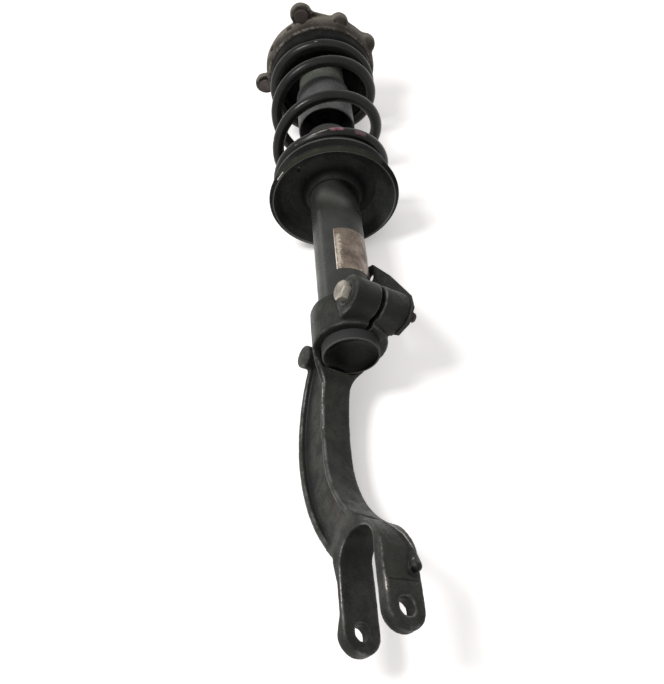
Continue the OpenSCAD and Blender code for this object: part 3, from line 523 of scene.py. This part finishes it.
# %% All materials
ROAD_DUST = (0.050, 0.042, 0.034)
BARE_EDGE = (0.14, 0.14, 0.135)
FINISHES = {
    # The fork's finish carries painted shade in its hollows and on its faces that look down.
    "forged_coat": worn_finish("forged_coat", (0.0085, 0.0096, 0.0076), (0.029, 0.0313, 0.0248), (0.40, 0.58),
                               grain=850, bump=0.0003, wear=BARE_EDGE, wear_amount=0.9, dirt=ROAD_DUST,
                               dirt_amount=0.25, chips=(0.13, 0.12, 0.11), chip_size=0.05, specular=0.2,
                               marks=FORK_MARKS, edge=0.503, hollow_shade=(0.003, 0.003, 0.0028),
                               down_shade=(0.004, 0.0042, 0.0036), down_shade_amount=0.6),
    "tube_paint": worn_finish("tube_paint", (0.017, 0.0182, 0.017), (0.036, 0.0378, 0.0345), (0.25, 0.40),
                              grain=500, bump=0.00004, dirt=ROAD_DUST, dirt_amount=0.3, specular=0.26,
                              marks=TUBE_MARKS),
    "seat_paint": worn_finish("seat_paint", (0.018, 0.0190, 0.0180), (0.042, 0.0435, 0.0400), (0.35, 0.55),
                              grain=420, bump=0.00004, dirt=ROAD_DUST, dirt_amount=0.12, specular=0.1,
                              chips=(0.2, 0.19, 0.18), chip_size=0.04, marks=SEAT_MARKS, bands=SEAT_LIGHT_AND_SHADE),
    # The cap's near-black base is painted shade on its face; its zones paint the lit side.
    "lit_and_shaded_cap_paint": worn_finish("lit_and_shaded_cap_paint", (0.0008, 0.0009, 0.0008), (0.0032, 0.0035, 0.0026), (0.22, 0.38),
                             grain=420, bump=0.00004, specular=0.11, bands=CAP_PAINTED_LIGHT),
    "spring_paint": worn_finish("spring_paint", (0.004, 0.0044, 0.0038), (0.0125, 0.0132, 0.0115), (0.22, 0.36),
                                grain=520, bump=0.00006, dirt=ROAD_DUST, dirt_amount=0.15, specular=0.2,
                                chips=(0.36, 0.33, 0.30), chip_size=0.07, marks=SPRING_MARKS),
    "black_rubber": worn_finish("black_rubber", (0.002, 0.002, 0.0022), (0.006, 0.006, 0.0056), (0.6, 0.8),
                                grain=700, bump=0.00006, dirt=ROAD_DUST, dirt_amount=0.1, specular=0.1),
    "grey_foam": worn_finish("grey_foam", (0.078, 0.083, 0.070), (0.145, 0.150, 0.128), (0.7, 0.85),
                             grain=900, bump=0.0002, dirt=(0.03, 0.028, 0.024), dirt_amount=0.4, specular=0.15,
                             marks=FOAM_MARKS),
    "boot_plastic": worn_finish("boot_plastic", (0.062, 0.063, 0.063), (0.118, 0.119, 0.118), (0.38, 0.55),
                                grain=420, bump=0.00004, dirt=ROAD_DUST, dirt_amount=0.25, specular=0.22),
    # The mount's finish carries the same painted shade in hollows and on faces that look down.
    "raw_casting": worn_finish("raw_casting", (0.072, 0.063, 0.051), (0.165, 0.150, 0.126), (0.42, 0.62),
                               metallic=0.1, grain=650, bump=0.0003, wear=(0.55, 0.53, 0.48), edge=0.508,
                               wear_amount=0.5, dirt=(0.05, 0.036, 0.028), dirt_amount=0.6, dirt_scale=32,
                               specular=0.15, hollow_shade=(0.010, 0.0075, 0.006), down_shade=(0.016, 0.0115, 0.009),
                               down_shade_amount=0.95, bands=MOUNT_BANDS),
    "worn_zinc": worn_finish("worn_zinc", (0.30, 0.275, 0.23), (0.50, 0.46, 0.39), (0.32, 0.5),
                             metallic=0.85, grain=700, bump=0.00006, dirt=(0.085, 0.062, 0.045),
                             dirt_amount=0.7, dirt_scale=90, marks=ZINC_MARKS),
    "dull_steel": worn_finish("dull_steel", (0.045, 0.036, 0.032), (0.095, 0.078, 0.07), (0.45, 0.62),
                              metallic=0.5, grain=700, bump=0.00008, dirt=(0.07, 0.04, 0.032),
                              dirt_amount=0.6, dirt_scale=70),
    "foil": worn_finish("foil", (0.11, 0.082, 0.064), (0.27, 0.215, 0.17), (0.26, 0.42), metallic=0.7,
                        grain=900, bump=0.00003, dirt=(0.07, 0.05, 0.04), dirt_amount=0.7,
                        dirt_scale=42, marks=LABEL_MARKS),
    "bright_rod": worn_finish("bright_rod", (0.62, 0.63, 0.65), (0.74, 0.75, 0.77), (0.08, 0.16),
                              metallic=1.0, grain=300, bump=0.00001),
    "drawn_steel": worn_finish("drawn_steel", (0.36, 0.36, 0.37), (0.5, 0.5, 0.51), (0.28, 0.42),
                               metallic=1.0, grain=500, bump=0.00002, stretch=(1.0, 1.0, 0.05)),
    "sintered": worn_finish("sintered", (0.24, 0.24, 0.245), (0.36, 0.36, 0.37), (0.45, 0.6),
                            metallic=0.9, grain=1100, bump=0.00008),
    "band_plastic": worn_finish("band_plastic", (0.09, 0.13, 0.10), (0.13, 0.17, 0.14), (0.4, 0.5),
                                grain=500, bump=0.00003),
}
print(len(FINISHES), "finishes:", ", ".join(FINISHES))

# %% [markdown]
# ## Making and placing pieces
# A finished piece keeps its place in its mesh, rides on one body of the frame and stands for the
# node it replaces. Its normals are recalculated after its doubles are merged, because a spun
# shape may come out inside out.


# %% Finishing a piece
def finish_piece(bm, name, body, replaced, finish, sharp=38):
    bmesh.ops.remove_doubles(bm, verts=bm.verts[:], dist=1e-6)
    bmesh.ops.recalc_face_normals(bm, faces=bm.faces[:])
    mesh = bpy.data.meshes.new(name)
    bm.to_mesh(mesh)
    bm.free()
    mesh.polygons.foreach_set("use_smooth", [True] * len(mesh.polygons))
    mesh.set_sharp_from_angle(angle=math.radians(sharp))
    mesh.materials.append(FINISHES[finish])
    piece = bpy.data.objects.new(name, mesh)
    bpy.context.scene.collection.objects.link(piece)
    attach(piece, body)
    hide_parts(replaced)
    print(f"{name}: {len(mesh.polygons)} faces")
    return piece


# %% [markdown]
# ## Turned parts
# Tubes, cups, rings and washers are bodies of revolution. The half section is drawn as a polygon
# of (radius, height, corner radius); the corners are rounded with a vertex bevel, and spin turns
# the outline into the part. A corner radius is what tells a pressed edge from a cut one.


# %% The turning helper
def turned(section, steps=144, bm=None):
    part = bmesh.new()
    corners = [part.verts.new((p[0] * MM, 0, p[1] * MM)) for p in section]
    part.faces.new(corners)
    for corner, point in zip(corners, section):
        if len(point) > 2:
            bmesh.ops.bevel(part, geom=[corner], offset=point[2] * MM, affect="VERTICES", segments=5,
                            profile=0.5, material=-1)
    bmesh.ops.delete(part, geom=part.faces[:], context="FACES_ONLY")
    on_axis = [e for e in part.edges if all(abs(v.co.x) < 1e-9 for v in e.verts)]
    bmesh.ops.delete(part, geom=on_axis, context="EDGES")
    bmesh.ops.spin(part, geom=part.verts[:] + part.edges[:], cent=(0, 0, 0), axis=(0, 0, 1),
                   dvec=(0, 0, 0), angle=math.tau, steps=steps, use_merge=True)
    bmesh.ops.remove_doubles(part, verts=part.verts[:], dist=1e-6)
    bmesh.ops.recalc_face_normals(part, faces=part.faces[:])
    return join(bm, part)


def join(bm, part):
    if bm is None:
        return part
    carrier = bpy.data.meshes.new("carrier")
    part.to_mesh(carrier)
    part.free()
    bm.from_mesh(carrier)
    bpy.data.meshes.remove(carrier)
    return bm


# %% Sections of the turned parts
TURNED = {
    "damper_body": ("lower_unit", "damper_tube", "tube_paint", [
        (28, 265, 0.6), (28, 600, 3), (22.8, 600, 1.2), (22.8, 597.2, 0.3), (25.8, 597.2, 0.3),
        (25.8, 268, 1), (0, 268), (0, 265)]),
    "end_cap_cup": ("lower_unit", "tube_end_cap", "lit_and_shaded_cap_paint", [
        (28.9, 260, 1.4), (28.9, 272, 0.4), (28.05, 272, 0.2), (28.05, 265, 0.3), (0, 265), (0, 264.2),
        (10, 264, 6), (23, 262.8, 7), (26.6, 260.2, 1.2), (27.4, 260, 0.5)]),
    "clamp_collar": ("lower_unit", "locating_collar", "seat_paint", [
        (28.05, 315), (30.5, 315, 0.4), (30.5, 321, 2), (28.05, 321, 0.3)]),
    "spring_pan": ("lower_unit", "lower_spring_seat", "seat_paint", [
        (28, 515.5), (69, 515.5, 1.2), (69, 496.4, 1.2), (75, 494.2, 2.4), (75, 490.4, 3.0), (70.4, 487.3, 0.8),
        (66.8, 495, 6), (61.5, 506, 14), (50, 509.6, 10), (38, 504, 8), (31.5, 493.4, 1.6), (29.6, 492.5, 0.5),
        (28, 492.5, 0.3)]),
    "coil_pad": ("lower_unit", "lower_spring_pad", "black_rubber", [
        (49, 515.5, 0.6), (68, 515.5, 1), (68, 518.5, 1), (55.5, 518.5, 1.5), (52, 518.5, 2),
        (52, 525.5, 1.4), (49, 525.5, 1.2)]),
    "isolator_ring": ("upper_unit", "spring_isolator", "black_rubber", [
        (51, 719.1, 0.9), (54, 719.1, 1.2), (54, 725.1, 2), (66.5, 725.1, 3), (68, 729, 2), (68, 741, 1.5),
        (66.8, 743.1, 0.6), (31, 743.1, 0.4), (31, 741, 0.6), (51, 740.4, 3)]),
    "foam_stop": ("upper_unit", "bump_stop", "grey_foam", [
        (7.3, 650.8, 0.8), (20, 650.8, 4), (22, 656, 3), (29, 688, 0.8), (29, 692.2, 0.6),
        (30, 692.4, 1.6), (30, 704.5, 3.5), (26, 709.4, 2.6), (30, 714.3, 3.5), (30, 722.5, 3.5),
        (26, 727.2, 2.6), (30, 731.9, 3.5), (30, 748.1, 1), (7.3, 748.1, 0.4)]),
    "dust_sleeve": ("upper_unit", "dust_boot", "boot_plastic", [
        (33.2, 621.1, 0.5), (35, 621.1, 0.8), (35, 673.8, 0.5), (34.2, 674.8, 0.4), (34.2, 676.4, 0.4),
        (35, 677.4, 0.5), (35, 692.1, 5), (29.1, 692.1, 0.5), (29.1, 690.3, 0.5), (32.4, 690.3, 2.8),
        (32.4, 672, 0.5), (33.2, 670, 0.5)]),
    "stop_plate": ("upper_unit", "bump_stop_plate", "dull_steel", [
        (6.1, 748.1, 0.2), (29, 748.1, 0.6), (29, 751.1, 0.6), (6.1, 751.1, 0.2)]),
    "bonded_bush": ("upper_unit", "mount_bush", "black_rubber", [
        (12, 755.4, 0.8), (15, 755.1, 1), (22, 758.2, 4), (30, 755.1, 1), (32, 755.1, 0.3),
        (32, 769.1, 0.3), (29.5, 769.1, 1.2), (22, 766.4, 4), (15, 769.1, 1), (12, 769.1, 0.5)]),
    "core_sleeve": ("upper_unit", "bush_core", "drawn_steel", [
        (6.05, 751.1, 0.3), (12, 751.1, 0.6), (12, 775.1, 0.6), (6.05, 775.1, 0.3)]),
    "cupped_washer": ("upper_unit", "cup_washer", "dull_steel", [
        (6.1, 775.1, 0.2), (17, 775.1, 2), (19, 775.9, 2), (25.2, 776.1, 0.5), (26, 778.1, 0.4),
        (18, 778.1, 2), (6.1, 777.6, 0.2)]),
}
turned_pieces = {}
for piece_name, (body, node, finish, section) in TURNED.items():
    turned_pieces[piece_name] = finish_piece(turned(section), piece_name, body, node, finish)

# %% [markdown]
# ## Cast and forged parts
# A casting has no sharp edge: every corner carries the radius of its mould. A bevel would choke
# on the fork's many crossing faces. So a merged copy of the solid is remeshed into small even
# cells, and relaxing the points rounds the edges as a blast of shot does. Machined faces are
# left out of the relaxing and stay crisp.


# %% Remesh, relax and roughen
def merged_copy(node):
    bm = bmesh.new()
    bm.from_mesh(nodes[node].data)
    bmesh.ops.remove_doubles(bm, verts=bm.verts[:], dist=2e-6)
    return bm


def remeshed(bm, cell):
    mesh = bpy.data.meshes.new("blank")
    bm.to_mesh(mesh)
    bm.free()
    blank = bpy.data.objects.new("blank", mesh)
    bpy.context.scene.collection.objects.link(blank)
    modifier = blank.modifiers.new("cells", "REMESH")
    modifier.mode = "VOXEL"
    modifier.voxel_size = cell * MM
    depsgraph = bpy.context.evaluated_depsgraph_get()
    out = bmesh.new()
    out.from_mesh(blank.evaluated_get(depsgraph).data)
    bpy.data.objects.remove(blank)
    bpy.data.meshes.remove(mesh)
    return out


def relax(bm, rounds, keep_sharp):
    soft = [v for v in bm.verts if not keep_sharp(v.co / MM)]
    for _ in range(rounds):
        bmesh.ops.smooth_vert(bm, verts=soft, factor=0.5, use_axis_x=True, use_axis_y=True, use_axis_z=True)
    return soft


def roughen(verts, height, size):
    for v in verts:
        lump = noise.fractal(v.co / (size * MM), 0.7, 2.0, 3)
        v.co += v.normal * lump * height * MM


def capsule(bm, start, end, r_start, r_end):
    a, b = Vector(start) * MM, Vector(end) * MM
    along = b - a
    place = Matrix.Translation((a + b) / 2) @ along.to_track_quat("Z", "Y").to_matrix().to_4x4()
    bmesh.ops.create_cone(bm, cap_ends=True, segments=24, radius1=r_start * MM, radius2=r_end * MM,
                          depth=along.length, matrix=place)
    for centre, radius in ((a, r_start), (b, r_end)):
        bmesh.ops.create_icosphere(bm, subdivisions=3, radius=radius * MM, matrix=Matrix.Translation(centre))


# %% [markdown]
# ## The fork
# One forging: two ears, a knuckle, a bowed arm with a channel down its outer side, and a split
# ring. The seam of the dies stands up as a fine ridge over the near shoulder and ends in a blunt
# nose above the machined pad. It is a chain of capsules along the surface, merged by the remesh.
# The slot of the clamp is sawn, and its two faces are eased apart a little after the remesh. The
# neck of one ear is drawn in at its outer corner: each point beyond a slanting plane is pulled
# back onto it, deepest in the middle of the neck and not at all at the eye.

# %% Fork
fork = merged_copy("fork")
SEAM = [(15.2, -10, 98), (14.3, 1, 88.4), (6, 4.6, 86.4), (0, 10, 82), (0, 20, 74.7), (-3, 26, 68.2),
        (-8, 31.4, 60.6), (-12, 36.6, 47), (-11.8, 38, 38)]
SEAM_R = 1.5
for low, high in zip(SEAM, SEAM[1:]):
    capsule(fork, low, high, SEAM_R, SEAM_R)
capsule(fork, (-12, 35.5, 43), (-10.6, 39.8, 31), 3.6, 4.7)
fork = remeshed(fork, 1.06)

# %% The drawn-in neck of one ear
EAR_SIDE, EAR_FACE = 17, 36
WAIST, WAIST_LOW, WAIST_HIGH = 6.2, -2, 66
for v in fork.verts:
    x, y, z = v.co / MM
    depth = min(1.0, max(0.0, (z - WAIST_LOW) / 16), max(0.0, (WAIST_HIGH - z) / 26))
    over = (x - EAR_SIDE) + (-y - EAR_FACE) + WAIST * depth
    if over > 0 and -37 < y < -23 and x > 4 and WAIST_LOW < z < WAIST_HIGH:
        v.co += Vector((-over / 2, over / 2, 0)) * MM

# %% Softening all but the machined faces
RING_LOW, RING_BORE_R = 271, 29.2
PAD_FACE, PAD_R = 22, 16.5
BOLT_FACE = (31.2, 28, 276)


def machined(p):
    in_clamp_bore = math.hypot(p.x, p.y) < RING_BORE_R and p.z > RING_LOW
    on_pads = math.hypot(p.x, p.z) < PAD_R and abs(p.y) > PAD_FACE
    on_bolt_face = all(value > limit for value, limit in zip(p, BOLT_FACE))
    return in_clamp_bore or on_pads or on_bolt_face


soft_skin = relax(fork, 5, machined)
SLOT_REACH, SLOT_FADE, SLOT_EASE = 1.75 + 1.6, 1.6, 0.7
for v in fork.verts:
    x, y, z = v.co / MM
    if abs(x) < SLOT_REACH and y > 30 and z > RING_LOW:
        v.co.x += math.copysign(SLOT_EASE * min(1.0, (SLOT_REACH - abs(x)) / SLOT_FADE), x) * MM
fork.normal_update()
roughen(soft_skin, 0.16, 9)
finish_piece(fork, "forged_fork", "lower_unit", "fork", "forged_coat", sharp=60)

# %% [markdown]
# ## The top mount
# A sand casting in aluminium, softer at its edges than the fork and rougher all over. Under two of
# its lobes the metal is drawn down over the stud's head in a low dome, and a fillet closes the
# gap where the longest lobe leaves the disc.

# %% Top mount
mount = merged_copy("top_mount")
DOMES, DOME_Z, DOME_FLATNESS = ((12.2, 67.2, 11.2), (-33.4, 57.2, 14.0)), 763.6, 0.62
for dome_x, dome_y, dome_r in DOMES:
    place = Matrix.Translation(Vector((dome_x, dome_y, DOME_Z)) * MM) @ Matrix.Diagonal((1, 1, DOME_FLATNESS, 1))
    bmesh.ops.create_icosphere(mount, subdivisions=4, radius=dome_r * MM, matrix=place)
capsule(mount, (61, 25, 759.8), (57, 36, 759.8), 4.5, 4.5)
mount = remeshed(mount, 1.2)
skin = relax(mount, 16, lambda p: math.hypot(p.x, p.y) < 32.6)
mount.normal_update()
roughen(skin, 0.2, 7)
finish_piece(mount, "cast_mount", "upper_unit", "top_mount", "raw_casting", sharp=60)

# %% [markdown]
# ## The spring
# The wire is a circle swept along a right-hand helix whose ends lie flat. A plain screw has one
# pitch, so here the ring is extruded step by step, and each step turns and lifts it as the
# height function says.

# %% Spring
WIRE_R, COIL_R, COIL_Z, COIL_RISE = 7.0, 62.0, 525.8, 192.0
LOW_TURNS, ACTIVE_TURNS, TOP_TURNS, END_RISE = 0.7, 2.64, 0.7, 3.0
COIL_START = 138
TURNS = LOW_TURNS + ACTIVE_TURNS + TOP_TURNS
EASE = 0.05
STEPS_PER_TURN = 72


def eased(x):
    k = 1 / (1 - EASE)
    if x < EASE:
        return k * x * x / (2 * EASE)
    if x > 1 - EASE:
        return 1 - k * (1 - x) ** 2 / (2 * EASE)
    return k * (x - EASE / 2)


def wire_height(turn):
    if turn < LOW_TURNS:
        return END_RISE * turn / LOW_TURNS
    if turn > TURNS - TOP_TURNS:
        return COIL_RISE - END_RISE * (TURNS - turn) / TOP_TURNS
    return END_RISE + (COIL_RISE - 2 * END_RISE) * eased((turn - LOW_TURNS) / ACTIVE_TURNS)


spring = bmesh.new()
stand = Matrix.Rotation(math.radians(COIL_START), 4, "Z") @ Matrix.Translation((COIL_R * MM, 0, COIL_Z * MM))
bmesh.ops.create_circle(spring, segments=24, radius=WIRE_R * MM,
                        matrix=stand @ Matrix.Rotation(math.pi / 2, 4, "X"))
rim = spring.edges[:]
coil_steps = round(TURNS * STEPS_PER_TURN)
for step in range(coil_steps):
    grown = bmesh.ops.extrude_edge_only(spring, edges=rim)["geom"]
    moved = [g for g in grown if isinstance(g, bmesh.types.BMVert)]
    rim = [g for g in grown if isinstance(g, bmesh.types.BMEdge) and g.is_boundary]
    before, after = (wire_height(TURNS * s / coil_steps) for s in (step, step + 1))
    bmesh.ops.rotate(spring, verts=moved, cent=(0, 0, 0),
                     matrix=Matrix.Rotation(math.tau * TURNS / coil_steps, 3, "Z"))
    bmesh.ops.translate(spring, verts=moved, vec=(0, 0, (after - before) * MM))
open_edges = [e for e in spring.edges if e.is_boundary]
ends = bmesh.ops.holes_fill(spring, edges=open_edges, sides=0)["faces"]
bmesh.ops.bevel(spring, geom=[e for f in ends for e in f.edges], offset=0.7 * MM, affect="EDGES",
                segments=2, profile=0.5, material=-1)
coil = finish_piece(spring, "wound_spring", "upper_unit", "coil_spring", "spring_paint")

# %% [markdown]
# ## Threads, bolts and nuts
# A hexagon is turned with its chamfer first and then cut by six planes, which gives the curved
# corners of a real head. A thread is a small triangle spun up a screw line round a core.


# %% Hexagon and thread helpers
def hexagon(across, height, chamfer, bore=0.0):
    corner = across / math.sqrt(3)
    section = [(bore, 0), (corner, 0), (corner, height - chamfer), (corner - 1.8 * chamfer, height),
               (bore, height)]
    part = turned(section, steps=96)
    for side in range(6):
        direction = Matrix.Rotation(math.radians(60 * side + 30), 3, "Z") @ Vector((1, 0, 0))
        bmesh.ops.bisect_plane(part, geom=part.verts[:] + part.edges[:] + part.faces[:], clear_outer=True,
                               plane_co=direction * across / 2 * MM, plane_no=direction)
        bmesh.ops.holes_fill(part, edges=[e for e in part.edges if e.is_boundary], sides=0)
    return part


def threaded(bm, radius, pitch, low, high, root=0.6, steps=24):
    section = [(0, low), (radius - root, low), (radius - root, high - 1), (radius - root - 0.6, high), (0, high)]
    bm = turned(section, steps=48, bm=bm)
    ridge = bmesh.new()
    foot = radius - root - 0.1
    turns = int((high - low - 2.2 * pitch) / pitch)
    points = [(foot, low + 0.1), (radius, low + 0.1 + pitch * 0.5), (foot, low + 0.1 + pitch * 0.96)]
    verts = [ridge.verts.new((r * MM, 0, z * MM)) for r, z in points]
    ridge.faces.new(verts)
    bmesh.ops.delete(ridge, geom=ridge.faces[:], context="FACES_ONLY")
    bmesh.ops.spin(ridge, geom=ridge.verts[:] + ridge.edges[:], cent=(0, 0, 0), axis=(0, 0, 1),
                   dvec=(0, 0, pitch / steps * MM), angle=math.tau * turns, steps=steps * turns)
    bmesh.ops.holes_fill(ridge, edges=[e for e in ridge.edges if e.is_boundary], sides=0)
    bmesh.ops.recalc_face_normals(ridge, faces=ridge.faces[:])
    return join(bm, ridge)


# %% Pinch bolt and its nut
PINCH_Y, PINCH_Z = 44.5, 294.8
HEAD_X = 32.5
bolt = bmesh.new()
head = hexagon(18, 8, 1.3)
bmesh.ops.rotate(head, verts=head.verts[:], cent=(0, 0, 0), matrix=Matrix.Rotation(math.radians(14), 3, "Z"))
bolt = join(bolt, head)
bolt = turned([(0, -1), (5.7, -1), (5.7, 1), (0, 1)], bm=bolt, steps=48)
shank = threaded(bmesh.new(), 5.75, 1.5, 64, 81.2, steps=32)
shank = turned([(0, 0), (5.6, 0), (5.6, 64.5), (0, 64.5)], bm=shank, steps=48)
bmesh.ops.rotate(shank, verts=shank.verts[:], cent=(0, 0, 0), matrix=Matrix.Rotation(math.pi, 3, "X"))
bolt = join(bolt, shank)
lay_along_x = Matrix.Rotation(math.pi / 2, 4, "Y")
lay_along_x = Matrix.Translation(Vector((HEAD_X, PINCH_Y, PINCH_Z)) * MM) @ lay_along_x
bmesh.ops.transform(bolt, matrix=lay_along_x, verts=bolt.verts[:])
finish_piece(bolt, "clamp_bolt", "lower_unit", "pinch_bolt", "worn_zinc", sharp=25)

NUT_X = -33.5
nut = turned([(5.8, 0, 0.3), (8.5, 0, 0.5), (8.5, 4.6, 0.8), (7.4, 6, 0.6), (5.8, 6, 0.4)], steps=72)
nut_place = Matrix.Rotation(-math.pi / 2, 4, "Y")
nut_place = Matrix.Translation(Vector((NUT_X, PINCH_Y, PINCH_Z)) * MM) @ nut_place
bmesh.ops.transform(nut, matrix=nut_place, verts=nut.verts[:])
finish_piece(nut, "pressed_nut", "lower_unit", "press_nut", "dull_steel")

# %% [markdown]
# ## Studs and the rod
# The four studs are pressed into the lobes from below, so their flat heads show and their threads
# point up. The rod is ground and polished, and only its top is threaded for the nut.


# %% Studs, rod nut and rod
LOBES = [(79.789, 40.4), (68.255, 79.7), (67.014, 120.8), (78.694, -49.2)]
studs = bmesh.new()
for radius, angle in LOBES:
    stud = turned([(0, 760.1), (9, 760.1, 0.9), (9, 763.1, 0.5), (5.6, 763.1, 0.3), (5.6, 773.1, 0.3),
                   (0, 773.1)], steps=48)
    stud = threaded(stud, 5.0, 1.5, 772.8, 785.1)
    spot = Vector((math.cos(math.radians(angle)), math.sin(math.radians(angle)), 0)) * radius * MM
    bmesh.ops.translate(stud, verts=stud.verts[:], vec=spot)
    studs = join(studs, stud)
finish_piece(studs, "pressed_studs", "upper_unit", "mount_studs", "dull_steel", sharp=30)

rod_nut = hexagon(19, 10, 1.2, bore=6.0)
bmesh.ops.translate(rod_nut, verts=rod_nut.verts[:], vec=(0, 0, 778.1 * MM))
finish_piece(rod_nut, "lock_nut", "upper_unit", "rod_nut", "worn_zinc", sharp=25)

rod = turned([(0, 504.3), (5, 504.3, 0.5), (5, 531.7), (7, 531.7, 0.3), (7, 748.1, 0.6), (5.9, 748.1), (5.9, 775),
              (0, 775)], steps=96)
rod = threaded(rod, 6.0, 1.25, 774.5, 792.1, steps=32)
finish_piece(rod, "damper_rod", "upper_unit", "piston_rod", "bright_rod", sharp=30)

# %% [markdown]
# ## The hose bracket and the label
# The bracket is sheet steel, so its edges are rolled over by the press: a small bevel does it.
# The label is a thin foil, bare of print, whose corners are rubbed, with a painted glare down it.


# %% Bracket and label
def bevelled_copy(node, width, segments, angle=30):
    bm = merged_copy(node)
    bmesh.ops.dissolve_limit(bm, angle_limit=math.radians(1), verts=bm.verts[:], edges=bm.edges[:])
    sharp = [e for e in bm.edges if len(e.link_faces) == 2 and e.calc_face_angle(0) > math.radians(angle)]
    bmesh.ops.bevel(bm, geom=sharp, offset=width * MM, affect="EDGES", segments=segments, profile=0.5,
                    material=-1, clamp_overlap=True)
    return bm


finish_piece(bevelled_copy("hose_bracket", 0.7, 3), "sheet_bracket", "lower_unit", "hose_bracket", "seat_paint")
finish_piece(bevelled_copy("label_plate", 0.08, 1), "foil_label", "lower_unit", "label_plate", "foil")

# %% [markdown]
# ## Parts inside the damper
# They don't show, but each one has its finish for a cut-away view.

# %% Finishes of the carried-over nodes
INNER = {
    "pressure_tube": "drawn_steel", "base_valve": "sintered", "rod_guide": "sintered",
    "rod_seal": "black_rubber", "piston": "sintered", "piston_band": "band_plastic",
    "piston_nut": "worn_zinc", "valve_discs": "drawn_steel", "rebound_stop": "dull_steel",
}
for node, finish in INNER.items():
    slots = nodes[node].data.materials
    slots.clear()
    slots.append(FINISHES[finish])
print("inner nodes finished:", len(INNER))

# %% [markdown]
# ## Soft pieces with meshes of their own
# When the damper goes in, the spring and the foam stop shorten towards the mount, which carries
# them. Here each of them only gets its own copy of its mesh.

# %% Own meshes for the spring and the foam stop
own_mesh(coil)
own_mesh(turned_pieces["foam_stop"])

# %% [markdown]
# ## Floor and light
# The strut lies on a white floor that touches the bow of its fork and the rims above. The floor takes
# a shadow, and its own light for the camera makes it white. That light fades where the strut is
# close, which paints a contact shadow. From behind, the floor lets the view through. One lamp hangs over the
# floor to the left, small enough to draw highlights. A weak wide one stands behind the camera, and the sky fills
# the rest.


# %% Floor
FLOOR_UP = Vector((0.5822, 0.8131, 0.0))
FLOOR_DEPTH, STRUT_MIDDLE = 76.8, 400
FLOOR_TOUCH = FLOOR_UP * -FLOOR_DEPTH * MM + Vector((0, 0, STRUT_MIDDLE * MM))
FLOOR_GLOW = 0.62


def seen_rays(tree):
    path = add_node(tree, "LightPath")
    both = math_node(tree, "MAXIMUM", path.outputs["Is Camera Ray"], path.outputs["Is Glossy Ray"])
    return math_node(tree, "MAXIMUM", both, path.outputs["Is Transmission Ray"])


def floor_material():
    material = bpy.data.materials.new("white_floor")
    material.use_nodes = True
    tree = material.node_tree
    tree.nodes.remove(tree.nodes["Principled BSDF"])
    white = add_node(tree, "BsdfDiffuse", Color=(0.80, 0.79, 0.78, 1))
    glow = add_node(tree, "Emission", Color=(1, 0.97, 0.955, 1))
    # Painted contact shadow: ambient occlusion dims the floor's glow where the strut is close.
    near = add_node(tree, "AmbientOcclusion", {"samples": 8}, Distance=0.07)
    glow_outside_contact_shadow = ramp(tree, near.outputs["AO"], 0.1, 0.95, 0.45, 1.0)
    strength = math_node(tree, "MULTIPLY", glow_outside_contact_shadow, FLOOR_GLOW)
    tree.links.new(math_node(tree, "MULTIPLY", seen_rays(tree), strength), glow.inputs["Strength"])
    lit = add_node(tree, "AddShader")
    tree.links.new(white.outputs[0], lit.inputs[0])
    tree.links.new(glow.outputs[0], lit.inputs[1])
    back = add_node(tree, "MixShader")
    tree.links.new(add_node(tree, "NewGeometry").outputs["Backfacing"], back.inputs[0])
    tree.links.new(lit.outputs[0], back.inputs[1])
    tree.links.new(add_node(tree, "BsdfTransparent").outputs[0], back.inputs[2])
    tree.links.new(back.outputs[0], tree.nodes["Material Output"].inputs["Surface"])
    return material


floor_bm = bmesh.new()
bmesh.ops.create_grid(floor_bm, x_segments=1, y_segments=1, size=4.0)
lay = Matrix.Translation(FLOOR_TOUCH) @ FLOOR_UP.to_track_quat("Z", "Y").to_matrix().to_4x4()
bmesh.ops.transform(floor_bm, matrix=lay, verts=floor_bm.verts[:])
floor_mesh = bpy.data.meshes.new("floor")
floor_bm.to_mesh(floor_mesh)
floor_bm.free()
floor_mesh.materials.append(floor_material())
floor = bpy.data.objects.new("floor", floor_mesh)
bpy.context.scene.collection.objects.link(floor)
print("floor", FLOOR_UP.to_tuple(3), "through", FLOOR_TOUCH.to_tuple(3))

# %% Sky and lamp
SKY = 0.22
world = bpy.data.worlds.new("studio")
bpy.context.scene.world = world
world.use_nodes = True
sky_tree = world.node_tree
background = sky_tree.nodes["Background"]
background.inputs["Color"].default_value = (1, 1, 1, 1)
sky_tree.links.new(ramp(sky_tree, seen_rays(sky_tree), 0, 1, SKY, 1.0), background.inputs["Strength"])


def soft_lamp(name, direction, distance, size, power):
    lamp_data = bpy.data.lights.new(name, "AREA")
    lamp_data.shape = "SQUARE"
    lamp_data.size = size
    lamp_data.energy = power
    lamp = bpy.data.objects.new(name, lamp_data)
    bpy.context.scene.collection.objects.link(lamp)
    aim = Vector((0, 0, 0.38))
    away = direction.normalized()
    turned_to_aim = away.to_track_quat("Z", "Y").to_matrix().to_4x4()
    lamp.matrix_world = Matrix.Translation(aim + away * distance) @ turned_to_aim
    print(name, "lamp", power, "W")


LEFT, DOWN = -camera_right, Vector((0, 0, -1))
soft_lamp("key", FLOOR_UP + LEFT * 0.55 + DOWN * 0.2, 1.7, 0.5, 22)
soft_lamp("front", camera_back + FLOOR_UP * 0.2, 1.6, 1.0, 1.0)
